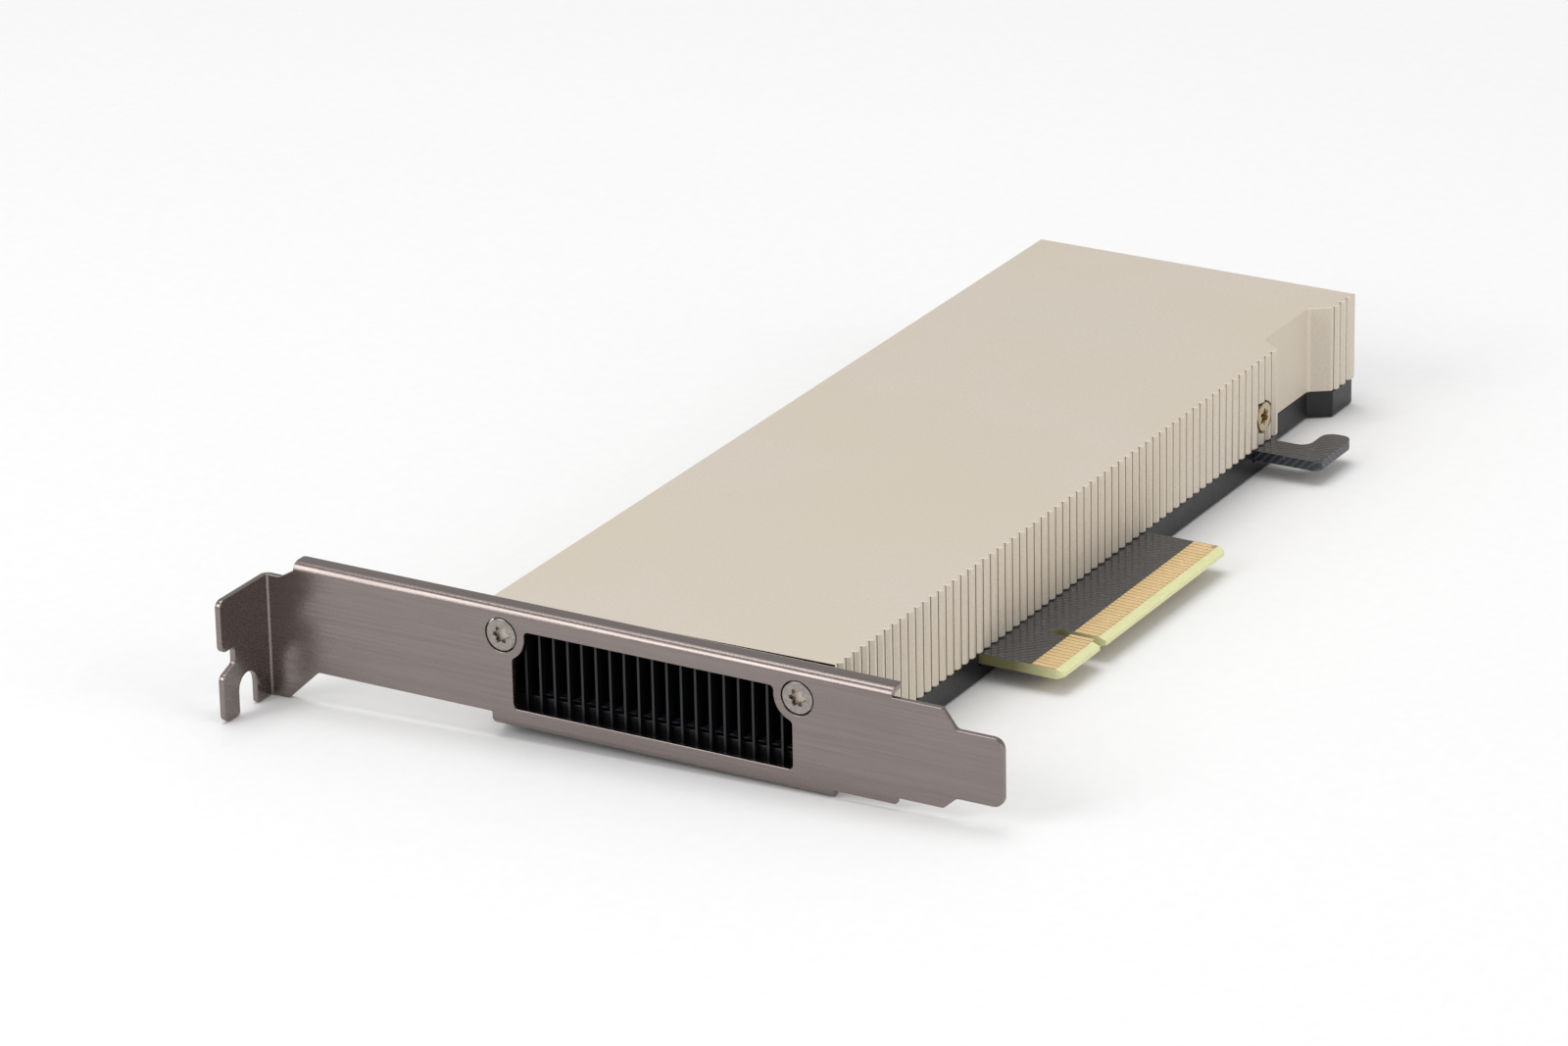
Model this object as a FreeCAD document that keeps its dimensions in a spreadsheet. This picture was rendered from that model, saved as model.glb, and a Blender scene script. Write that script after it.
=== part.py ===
"""Passive accelerator card: half length, low board height, single slot, full-height bracket.

Frame, in millimetres: the origin is the middle of the edge connector's key notch, on the
connector's leading edge and half way through the board. +X runs from the bracket to the rear
end, +Y from the edge connector up to the bracket's screw tab, and +Z to the component side.
"""
import FreeCAD, Part
import math
import os
import Sketcher

DOC = FreeCAD.newDocument("accelerator_card")
SHEET = DOC.addObject("Spreadsheet::Sheet", "sizes")

SIZES = {
    # circuit board and its 8-lane edge connector
    "board_thick": 1.57,
    "connector_corner": 0.6,
    "bevel_rise": 1.3,
    "bevel_depth": 0.47,
    "key_width": 1.9,
    "key_depth": 8.25,
    "board_rim_gap": 0.15,
    # gold contacts
    "contact_pitch": 1.0,
    "contact_width": 0.7,
    "contact_thick": 0.06,
    "contact_key_gap": 0.2,
    "contact_edge_gap": 0.3,
    "contact_bevel_gap": 0.05,
    "contact_end": 5.2,
    "contact_short": 0.65,
    "contact_count_before_key": 11,
    "contact_count_after_key": 38,
    # retention hook, cut from the board
    "hook_from_key": 75.55,
    "hook_stem": 5.4,
    "hook_foot": 6.4,
    "hook_low": 2.45,
    "hook_foot_height": 4.55,
    "hook_corner": 1.4,
    # bracket
    "bracket_to_key": 57.15,
    "bracket_sheet": 0.9,
    "bracket_width": 18.42,
    "bracket_span": 120.02,
    "bracket_tip": 14.5,
    "bend_inside": 0.4,
    "flange_depth": 3.0,
    "top_flange_start": 2.6,
    "top_flange_before_tab": 4.22,
    "low_flange_before_cover": 1.25,
    "low_flange_short": 1.2,
    "edge_drop_at": 2.1,
    "edge_drop": 1.0,
    "narrow_lift": 2.0,
    "slope_run": 5.2,
    "slope_before_tab": 2.52,
    "ear_drop": 2.9,
    "relief_run": 2.3,
    "tongue_width": 10.19,
    "tongue_long": 7.25,
    "shoulder_run": 2.1,
    "tip_corner": 1.6,
    # screw tab
    "tab_reach": 11.9,
    "tab_top_drop": 2.65,
    "tab_corner": 1.0,
    "screw_slot_width": 4.42,
    "screw_slot_at": 5.85,
    "screw_slot_depth": 5.7,
    "finger_top": 7.0,
    "tab_notch_depth": 3.1,
    "tab_notch_slope": 1.15,
    "tab_notch_tall": 2.55,
    # window and bracket screws
    "window_low_inset": 5.25,
    "window_high_inset": 4.8,
    "window_bottom": 3.12,
    "window_corner": 0.7,
    "window_top_inset": 3.27,
    "screw_low_inset": 4.35,
    "screw_high_inset": 3.1,
    "screw_top_inset": 4.39,
    "screw_land": 3.8,
    "screw_head": 2.38,
    "head_gap": 0.12,
    "thread": 1.05,
    "thread_gap": 0.3,
    "screw_length": 7.0,
    "recess_radius": 0.85,
    "recess_deep": 0.7,
    # cover
    "cover_length": 164.2,
    "cover_low": 13.15,
    "cover_high": 68.4,
    "cover_height": 14.0,
    "cover_top_wall": 1.8,
    "cover_side_wall": 1.5,
    "flange_gap": 0.15,
    "rib_pitch": 2.2,
    "rib_depth": 0.33,
    "rib_crest": 0.8,
    "rib_root": 0.8,
    "boss": 2.4,
    "boss_length": 11.0,
    # hollow near the rear end
    "hollow_before_rear": 6.75,
    "hollow_length": 20.3,
    "hollow_front_run": 2.8,
    "hollow_rear_run": 2.4,
    "hollow_depth": 3.65,
    # side screws
    "side_screw_before_hollow": 4.6,
    "side_head": 2.3,
    "side_head_tall": 1.1,
    "side_bore_gap": 0.3,
    "side_screw_long": 6.0,
    # heat sink
    "sink_gap": 0.1,
    "sink_over_inductors": 0.3,
    "sink_base": 3.6,
    "sink_front_inset": 11.35,
    "sink_rear_inset": 2.0,
    "fin_ahead": 0.95,
    "fin_low": 0.6,
    "fin_thick": 0.35,
    "fin_toe_long": 0.75,
    "fin_toe_drop": 0.85,
    "fin_pitch": 2.3,
    "fin_side_room": 1.2,
    "boss_gap": 0.3,
    # back tray
    "back_gap": 0.17,
    "tray_floor": 0.8,
    "tray_rim": 1.0,
    "tray_slot_gap": 0.35,
    "tray_post_wall": 0.4,
    "insulator": 0.2,
    "insulator_gap": 0.4,
    # tray screws, one in each post
    "post_front_inset": 5.5,
    "post_rear_inset": 11.35,
    "post_side_gap": 0.9,
    "tray_head": 2.2,
    "tray_head_tall": 1.0,
    "tray_screw_long": 7.0,
    # processor in the middle of the board
    "substrate_side": 35.0,
    "substrate_thick": 1.2,
    "die_long": 18.0,
    "die_wide": 16.0,
    "die_thick": 0.78,
    "paste_thick": 0.12,
    "pedestal_long": 26.0,
    "pedestal_wide": 24.0,
    # plate and screws behind the processor
    "retention_gap": 2.3,
    "retention_spread": 14.0,
    "retention_post": 2.2,
    "retention_arm": 6.4,
    "retention_thick": 0.8,
    "retention_head": 2.0,
    "retention_head_tall": 0.7,
    "retention_screw_long": 5.5,
    # memory
    "memory_gap": 1.8,
    "memory_spread": 10.5,
    "memory_long": 10.0,
    "memory_wide": 14.0,
    "memory_thick": 1.1,
    # power supply
    "inductor_gap": 5.9,
    "inductor_side": 6.2,
    "inductor_tall": 2.4,
    "phase_gap": 0.8,
    "phase_count": 5,
    "supply_gap": 2.9,
    "stage_side": 5.0,
    "stage_thick": 0.8,
    "polymer_long": 3.5,
    "polymer_wide": 2.8,
    "polymer_tall": 1.9,
    # small parts
    "small_parts_gap": 12.0,
    "controller_below": 11.0,
    "controller_side": 6.0,
    "controller_thick": 0.9,
    "flash_above": 2.0,
    "flash_long": 8.0,
    "flash_wide": 6.0,
    "flash_thick": 1.0,
    "clock_above": 13.0,
    "clock_long": 3.2,
    "clock_wide": 2.5,
    "clock_thick": 0.8,
    "ceramic_long": 1.6,
    "ceramic_wide": 0.8,
    "ceramic_tall": 0.8,
    "ceramic_pitch": 3.0,
    "ceramic_count": 10,
    "ceramic_gap": 1.2,
    # how far a cutting outline runs past the face that it opens
    "overrun": 1.0,
}
SMALLEST = 1e-6
SEALED_SIDES = 12

ALIASES = {}


class Size:
    """A length with its value now and the sheet formula that gives it."""

    def __init__(self, value, formula):
        self.value = value
        self.formula = formula

    def __add__(self, other):
        other = as_size(other)
        return Size(self.value + other.value, f"({self.formula} + {other.formula})")

    def __radd__(self, other):
        return as_size(other) + self

    def __sub__(self, other):
        other = as_size(other)
        return Size(self.value - other.value, f"({self.formula} - {other.formula})")

    def __rsub__(self, other):
        return as_size(other) - self

    def __mul__(self, factor):
        factor = as_size(factor)
        return Size(self.value * factor.value, f"({self.formula} * {factor.formula})")

    def __rmul__(self, factor):
        return self * factor

    def __truediv__(self, factor):
        factor = as_size(factor)
        return Size(self.value / factor.value, f"({self.formula} / {factor.formula})")

    def __neg__(self):
        return Size(-self.value, f"(0 - {self.formula})")


def whole(number):
    """The whole number below a Size."""
    return Size(float(math.floor(number.value)), f"floor({number.formula})")


def slope_factor(run):
    """Length of a slope for each millimetre of its rise."""
    return Size(math.hypot(1, run.value), f"sqrt(1 + {run.formula} * {run.formula})")


def as_size(number):
    """Give a plain number the form of a Size."""
    if isinstance(number, Size):
        return number
    return Size(float(number), f"{float(number):.9f}")


def fill_sheet():
    """Write each driving size to a cell of its own, with its name as alias."""
    for row, (name, number) in enumerate(SIZES.items(), start=1):
        SHEET.set(f"A{row}", name)
        SHEET.set(f"B{row}", str(number))
        SHEET.setAlias(f"B{row}", name)
    DOC.recompute()
    for name, number in SIZES.items():
        ALIASES[name] = Size(float(number), f"sizes.{name}")


def size(name):
    """The Size of one cell of the sheet."""
    return ALIASES[name]


def copies(name):
    """A size that counts copies, as a whole number."""
    return round(SIZES[name])


fill_sheet()


def plane_of(body, role):
    """One of a body's own origin planes or axes, found by its role."""
    return next(item for item in body.Origin.OriginFeatures if item.Role == role)


def new_body(label):
    """An empty PartDesign body."""
    body = DOC.addObject("PartDesign::Body", label)
    body.Label = label
    return body


def new_sketch(body, name, role, offset=0):
    """A sketch on an origin plane of the body, moved along the plane's normal."""
    offset = as_size(offset)
    sketch = body.newObject("Sketcher::SketchObject", name)
    sketch.AttachmentSupport = [(plane_of(body, role), "")]
    sketch.MapMode = "FlatFace"
    sketch.AttachmentOffset = FreeCAD.Placement(FreeCAD.Vector(0, 0, offset.value), FreeCAD.Rotation())
    sketch.setExpression("AttachmentOffset.Base.z", offset.formula)
    return sketch


def pin_point(sketch, curve, end, across, up):
    """Hold a point of a sketch at two sizes from the origin."""
    for kind, length, axis in (("DistanceX", across, -2), ("DistanceY", up, -1)):
        if abs(length.value) < SMALLEST:
            sketch.addConstraint(Sketcher.Constraint("PointOnObject", curve, end, axis))
            continue
        index = sketch.addConstraint(Sketcher.Constraint(kind, -1, 1, curve, end, length.value))
        sketch.setExpression(f"Constraints[{index}]", length.formula)


def add_polygon(sketch, points):
    """A closed outline of straight edges, each corner held by the sheet."""
    corners = [(as_size(across), as_size(up)) for across, up in points]
    vectors = [FreeCAD.Vector(across.value, up.value, 0) for across, up in corners]
    ends = vectors[1:] + vectors[:1]
    curves = [sketch.addGeometry(Part.LineSegment(a, b), False) for a, b in zip(vectors, ends)]
    for curve, following in zip(curves, curves[1:] + curves[:1]):
        sketch.addConstraint(Sketcher.Constraint("Coincident", curve, 2, following, 1))
    for curve, (across, up) in zip(curves, corners):
        pin_point(sketch, curve, 1, across, up)


def add_rectangle(sketch, left, right, low, high):
    """A rectangle between two pairs of sizes."""
    add_polygon(sketch, [(left, low), (right, low), (right, high), (left, high)])


def add_circle(sketch, across, up, radius):
    """A circle held by the sheet."""
    across, up, radius = as_size(across), as_size(up), as_size(radius)
    centre = FreeCAD.Vector(across.value, up.value, 0)
    curve = sketch.addGeometry(Part.Circle(centre, FreeCAD.Vector(0, 0, 1), radius.value), False)
    index = sketch.addConstraint(Sketcher.Constraint("Radius", curve, radius.value))
    sketch.setExpression(f"Constraints[{index}]", radius.formula)
    pin_point(sketch, curve, 3, across, up)


def pad(body, name, sketch, length, backwards=False):
    """Thicken a sketch into a solid along its normal, or against it."""
    feature = body.newObject("PartDesign::Pad", name)
    feature.Profile = sketch
    feature.setExpression("Length", as_size(length).formula)
    feature.Reversed = backwards
    DOC.recompute()
    return feature


def pocket(body, name, sketch, length=None, backwards=False):
    """Cut a sketch out of the body, through all of it where no length is given."""
    feature = body.newObject("PartDesign::Pocket", name)
    feature.Profile = sketch
    feature.Reversed = backwards
    if length is None:
        feature.Type = "ThroughAll"
    else:
        feature.setExpression("Length", as_size(length).formula)
    DOC.recompute()
    if feature.Shape.Volume >= feature.BaseFeature.Shape.Volume - SMALLEST:
        raise RuntimeError(f"{name} cuts nothing")
    return feature


def repeat(body, name, feature, role, pitch, count):
    """Repeat a feature in a straight row."""
    row = body.newObject("PartDesign::LinearPattern", name)
    row.Originals = [feature]
    row.Direction = (plane_of(body, role), [""])
    row.setExpression("Length", (pitch * (count - 1)).formula)
    row.setExpression("Occurrences", count.formula)
    body.Tip = row
    DOC.recompute()
    return row


def round_edges(body, name, axis, places, radius):
    """Round the body's edges that run along an axis where its outline has the given corners.

    A place gives the two other coordinates in order, and None stands for any value.
    """
    others = [other for other in range(3) if other != axis]
    spots = [[(other, as_size(value).value) for other, value in zip(others, spot) if value is not None]
             for spot in places]
    names = []
    for number, edge in enumerate(body.Tip.Shape.Edges, 1):
        start, end = edge.Vertexes[0].Point, edge.Vertexes[-1].Point
        if any(abs(start[other] - end[other]) > SMALLEST for other in others) or edge.Length < SMALLEST:
            continue
        if any(all(abs(start[other] - value) < SMALLEST for other, value in spot) for spot in spots):
            names.append(f"Edge{number}")
    base = body.Tip
    feature = body.newObject("PartDesign::Fillet", name)
    feature.Base = (base, names)
    feature.setExpression("Radius", radius.formula)
    DOC.recompute()
    if abs(feature.Shape.Volume - base.Shape.Volume) < SMALLEST:
        raise RuntimeError(f"{name} rounds nothing")


def place(item, x, y, z):
    """Put an object at three sizes of the sheet."""
    for key, length in (("x", x), ("y", y), ("z", z)):
        item.setExpression(f"Placement.Base.{key}", as_size(length).formula)


def box(name, x, y, z, long, wide, tall):
    """A box from its lowest corner."""
    item = DOC.addObject("Part::Box", name)
    for key, length in (("Length", long), ("Width", wide), ("Height", tall)):
        item.setExpression(key, as_size(length).formula)
    place(item, x, y, z)
    return item


def chip(name, at, up, base, long, wide, tall):
    """A flat package, placed by its middle."""
    return box(name, at - long / 2, up - wide / 2, base, long, wide, tall)


TURNS = {
    "+X": FreeCAD.Rotation(FreeCAD.Vector(0, 1, 0), 90),
    "+Y": FreeCAD.Rotation(FreeCAD.Vector(1, 0, 0), -90),
    "-Y": FreeCAD.Rotation(FreeCAD.Vector(1, 0, 0), 90),
    "+Z": FreeCAD.Rotation(),
    "-Z": FreeCAD.Rotation(FreeCAD.Vector(1, 0, 0), 180),
}


def cylinder(name, along, x, y, z, radius, length):
    """A cylinder from the middle of its first face, along an axis."""
    item = DOC.addObject("Part::Cylinder", name)
    item.Placement = FreeCAD.Placement(FreeCAD.Vector(), TURNS[along])
    item.setExpression("Radius", as_size(radius).formula)
    item.setExpression("Height", as_size(length).formula)
    place(item, x, y, z)
    return item


def cone(name, along, x, y, z, radius, end_radius, length):
    """A cone from the middle of its first face, along an axis."""
    item = DOC.addObject("Part::Cone", name)
    item.Placement = FreeCAD.Placement(FreeCAD.Vector(), TURNS[along])
    item.setExpression("Radius1", as_size(radius).formula)
    item.setExpression("Radius2", as_size(end_radius).formula)
    item.setExpression("Height", as_size(length).formula)
    place(item, x, y, z)
    return item


def prism(name, along, x, y, z, radius, length, sides):
    """A regular prism from the middle of its first face, along an axis; radius is out to its corners."""
    item = DOC.addObject("Part::Prism", name)
    item.Polygon = sides
    item.Placement = FreeCAD.Placement(FreeCAD.Vector(), TURNS[along])
    item.setExpression("Circumradius", as_size(radius).formula)
    item.setExpression("Height", as_size(length).formula)
    place(item, x, y, z)
    return item


def hexagon_recess(name, along, x, y, z):
    """The drive recess of a screw, cut along an axis from the head's face."""
    return prism(name, along, x, y, z, size("recess_radius"), size("recess_deep"), 6)


def sealed_round(name, along, x, y, z, radius, length):
    """A round post, shank or hole that the closed card hides, with few faces because it repeats."""
    return prism(name, along, x, y, z, radius, length, SEALED_SIDES)


def fuse(name, items):
    """Join overlapping objects into one."""
    item = DOC.addObject("Part::MultiFuse", name)
    item.Shapes = items
    item.Refine = True
    return item


def cut(name, base, tools):
    """Take tools away from a base."""
    item = DOC.addObject("Part::Cut", name)
    item.Base = base
    item.Tool = tools[0] if len(tools) == 1 else group(f"{name}_tools", tools)
    item.Refine = True
    return item


def group(name, items):
    """Keep separate solids together in one object."""
    item = DOC.addObject("Part::Compound", name)
    item.Links = items
    return item


NODES = {}


def keep(label, item):
    """Name a finished piece, which names its file."""
    item.Label = label
    NODES[label] = item
    return item


# Heights: the board lies half way, the tray under it and the cover on it.
HALF_BOARD = size("board_thick") / 2
BACK_ROOM = size("retention_thick") + size("retention_head_tall") + size("back_gap")
TRAY_DROP = BACK_ROOM + size("insulator") + size("tray_floor")
TRAY_LOW = -HALF_BOARD - TRAY_DROP
INSULATOR_LOW = TRAY_LOW + size("tray_floor")
COVER_CEILING = HALF_BOARD + size("cover_height") - size("cover_top_wall")
SINK_UNDER = size("inductor_tall") + size("sink_over_inductors")
SINK_LOW = HALF_BOARD + SINK_UNDER
SIDE_SCREW_Z = SINK_LOW + size("sink_base") / 2
BRACKET_HIGH = TRAY_LOW + size("bracket_width")
SCREW_Z = BRACKET_HIGH - size("screw_top_inset")

# Places across the card.
SIDE_LOW = size("cover_low") + size("rib_depth")
SIDE_HIGH = size("cover_high") - size("rib_depth")
INNER_LOW = SIDE_LOW + size("cover_side_wall")
INNER_HIGH = SIDE_HIGH - size("cover_side_wall")
MIDDLE_Y = (INNER_LOW + INNER_HIGH) / 2
BRACKET_SCREW_YS = {
    "lower": size("cover_low") + size("screw_low_inset"),
    "upper": size("cover_high") - size("screw_high_inset"),
}
HOLLOW_FLOOR = size("cover_low") + size("hollow_depth")

# Places along the card.
FACE = -size("bracket_to_key")
BRACKET_BACK = FACE + size("bracket_sheet")
BEND_OUT = size("bend_inside") + size("bracket_sheet")
COVER_FRONT = FACE + size("flange_depth") + size("flange_gap")
COVER_REAR = COVER_FRONT + size("cover_length")
SINK_FRONT = COVER_FRONT + size("sink_front_inset")
FIN_FRONT = COVER_FRONT - size("fin_ahead")
HOLLOW_REAR = COVER_REAR - size("hollow_before_rear")
HOLLOW_FRONT = HOLLOW_REAR - size("hollow_length")
SIDE_SCREW_X = HOLLOW_FRONT - size("side_screw_before_hollow")
POST_FRONT = SINK_FRONT + size("post_front_inset")
POST_REAR = COVER_REAR - size("post_rear_inset")
MIDDLE_X = (POST_FRONT + POST_REAR) / 2
CONTACT_FIRST = (size("key_width") + size("contact_width")) / 2 + size("contact_key_gap")
CONTACT_MARGIN = size("contact_width") / 2 + size("contact_edge_gap")
TONGUE_FRONT = -CONTACT_FIRST - size("contact_pitch") * (copies("contact_count_before_key") - 1) - CONTACT_MARGIN
TONGUE_REAR = CONTACT_FIRST + size("contact_pitch") * (copies("contact_count_after_key") - 1) + CONTACT_MARGIN
RETENTION_REACH = size("substrate_side") / 2 + size("retention_gap") + size("retention_post")
MEMORY_REACH = RETENTION_REACH + size("retention_post") + size("memory_gap") + size("memory_long") / 2

SIDE_SCREWS = {"lower": ("+Y", size("cover_low")), "upper": ("-Y", size("cover_high"))}
CLEARANCE_HOLE = size("thread") + size("thread_gap")
TRAY_POST = size("tray_head") + size("tray_post_wall")


def follow_hollow(front, rear, low, high, inset):
    """Outline of a long plate that steps round the hollow in the cover's side.

    The step keeps clear of the hollow's three faces by inset.
    """
    run_front = size("hollow_front_run") / size("hollow_depth")
    run_rear = size("hollow_rear_run") / size("hollow_depth")
    step = HOLLOW_FLOOR + inset
    hollow_front = HOLLOW_FRONT - inset * slope_factor(run_front)
    hollow_rear = HOLLOW_REAR + inset * slope_factor(run_rear)
    return [
        (front, low),
        (hollow_front + (low - size("cover_low")) * run_front, low),
        (hollow_front + (step - size("cover_low")) * run_front, step),
        (hollow_rear - (step - size("cover_low")) * run_rear, step),
        (hollow_rear - (low - size("cover_low")) * run_rear, low),
        (rear, low),
        (rear, high),
        (front, high),
    ]


def make_bracket():
    """Folded steel bracket: plate, two flanges, screw tab, window and screw holes."""
    sheet = size("bracket_sheet")
    low_bend = TRAY_LOW + BEND_OUT
    high_bend = BRACKET_HIGH - BEND_OUT
    ear = TRAY_LOW - size("ear_drop")
    tab_high = BRACKET_HIGH - size("tab_top_drop")
    tip = -size("bracket_tip")
    tab_inside = tip + size("bracket_span") - sheet
    plate_end = tab_inside - size("bend_inside")
    slope_end = plate_end - size("slope_before_tab")
    low_flange = (size("cover_low") - size("low_flange_before_cover"),
                  size("cover_high") - size("low_flange_short"))
    top_flange = (size("top_flange_start"), plate_end - size("top_flange_before_tab"))
    middle = TRAY_LOW + size("bracket_width") / 2
    tongue_low = middle - size("tongue_width") / 2
    tongue_high = middle + size("tongue_width") / 2
    neck = tip + size("tongue_long")
    shoulder = neck + size("shoulder_run")
    edge_low = low_bend + size("edge_drop")
    narrow = TRAY_LOW + size("narrow_lift")

    body = new_body("bracket_plate")
    outline = new_sketch(body, "bracket_outline", "YZ_Plane", FACE)
    add_polygon(outline, [
        (tip, tongue_low),
        (neck, tongue_low),
        (shoulder, edge_low),
        (size("edge_drop_at"), edge_low),
        (size("edge_drop_at"), low_bend),
        (low_flange[1], low_bend),
        (low_flange[1], narrow),
        (slope_end - size("slope_run"), narrow),
        (slope_end, ear),
        (plate_end, ear),
        (plate_end, tab_high),
        (top_flange[1] + size("relief_run"), tab_high),
        (top_flange[1], high_bend),
        (shoulder, high_bend),
        (neck, tongue_high),
        (tip, tongue_high),
    ])
    pad(body, "bracket_sheet_pad", outline, sheet)
    round_edges(body, "tongue_tip_round", 0, [(tip, tongue_low), (tip, tongue_high)], size("tip_corner"))

    window_ends = (size("cover_low") + size("window_low_inset"), size("cover_high") - size("window_high_inset"))
    window_top = BRACKET_HIGH - size("window_top_inset")
    window = new_sketch(body, "window_outline", "YZ_Plane", FACE)
    add_rectangle(window, *window_ends, TRAY_LOW + size("window_bottom"), window_top)
    pocket(body, "window_cut", window, sheet, backwards=True)
    lands = new_sketch(body, "screw_lands", "YZ_Plane", FACE)
    for across in BRACKET_SCREW_YS.values():
        add_circle(lands, across, SCREW_Z, size("screw_land"))
    pad(body, "screw_land_pad", lands, sheet)
    round_edges(body, "window_round", 0, [(window_ends[0], None), (window_ends[1], None), (None, window_top)],
                size("window_corner"))

    tab_root = FACE - size("bend_inside")
    tab_end = FACE - size("tab_reach")
    slot_at = FACE - size("screw_slot_at")
    slot_half = size("screw_slot_width") / 2
    slot_top = ear + size("screw_slot_depth") - slot_half
    finger_top = ear + size("finger_top")
    notch_inside = tab_end + size("tab_notch_depth")
    notch_low = finger_top + size("tab_notch_slope")
    notch_high = notch_low + size("tab_notch_tall")
    tab = new_body("tab_plate")
    tab_outline = new_sketch(tab, "tab_outline", "XZ_Plane", -tab_inside)
    add_polygon(tab_outline, [
        (tab_root, ear),
        (tab_end, ear),
        (tab_end, finger_top),
        (notch_inside, notch_low),
        (notch_inside, notch_high),
        (tab_end, notch_high),
        (tab_end, tab_high),
        (tab_root, tab_high),
    ])
    pad(tab, "tab_pad", tab_outline, sheet, backwards=True)
    slot = new_sketch(tab, "screw_slot", "XZ_Plane", -tab_inside)
    add_rectangle(slot, slot_at - slot_half, slot_at + slot_half, ear - sheet, slot_top)
    pocket(tab, "screw_slot_cut", slot)
    slot_end = new_sketch(tab, "screw_slot_end", "XZ_Plane", -tab_inside)
    add_circle(slot_end, slot_at, slot_top, slot_half)
    pocket(tab, "screw_slot_end_cut", slot_end)
    round_edges(tab, "tab_round", 1, [(slot_at - slot_half, ear), (tab_end, ear), (tab_end, finger_top),
                                      (tab_end, notch_high), (tab_end, tab_high)], size("tab_corner"))

    bend_x = FACE + BEND_OUT
    leg = size("flange_depth") - BEND_OUT
    pieces = [body, tab]
    for name, start, end, bend_z, leg_z, quarter in (
            ("top", *top_flange, high_bend, BRACKET_HIGH - sheet, 180),
            ("low", *low_flange, low_bend, TRAY_LOW, 90)):
        outside = cylinder(f"{name}_bend_outside", "+Y", bend_x, start, bend_z, BEND_OUT, end - start)
        inside = cylinder(f"{name}_bend_inside", "+Y", bend_x, start, bend_z, size("bend_inside"), end - start)
        spin = FreeCAD.Rotation(FreeCAD.Vector(0, 0, 1), quarter)
        for item in (outside, inside):
            item.Placement = FreeCAD.Placement(item.Placement.Base, TURNS["+Y"] * spin)
            place(item, bend_x, start, bend_z)
        outside.Angle = 90
        pieces.append(cut(f"{name}_bend", outside, [inside]))
        pieces.append(box(f"{name}_leg", bend_x, start, leg_z, leg, end - start, sheet))
    tab_outside = cylinder("tab_bend_outside", "+Z", tab_root, plate_end, ear, BEND_OUT, tab_high - ear)
    tab_outside.Angle = 90
    tab_inner = cylinder("tab_bend_inside", "+Z", tab_root, plate_end, ear, size("bend_inside"), tab_high - ear)
    pieces.append(cut("tab_bend", tab_outside, [tab_inner]))
    folded = fuse("folded_sheet", pieces)

    holes = []
    for name, across in BRACKET_SCREW_YS.items():
        holes.append(cone(f"countersink_{name}", "+X", FACE, across, SCREW_Z,
                          size("screw_head") + size("head_gap"), CLEARANCE_HOLE, sheet))
    keep("bracket", cut("bracket_finished", folded, holes))


def make_bracket_screws():
    """Countersunk screws from the bracket into the cover's bosses."""
    sheet = size("bracket_sheet")
    for name, across in BRACKET_SCREW_YS.items():
        head = cone(f"bracket_head_{name}", "+X", FACE, across, SCREW_Z, size("screw_head"), size("thread"), sheet)
        shank = cylinder(f"bracket_shank_{name}", "+X", FACE + sheet / 2, across, SCREW_Z,
                         size("thread"), size("screw_length") - sheet / 2)
        recess = hexagon_recess(f"bracket_drive_{name}", "+X", FACE, across, SCREW_Z)
        keep(f"bracket_screw_{name}", cut(f"bracket_screw_{name}_cut",
                                          fuse(f"bracket_screw_{name}_blank", [head, shank]), [recess]))


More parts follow.
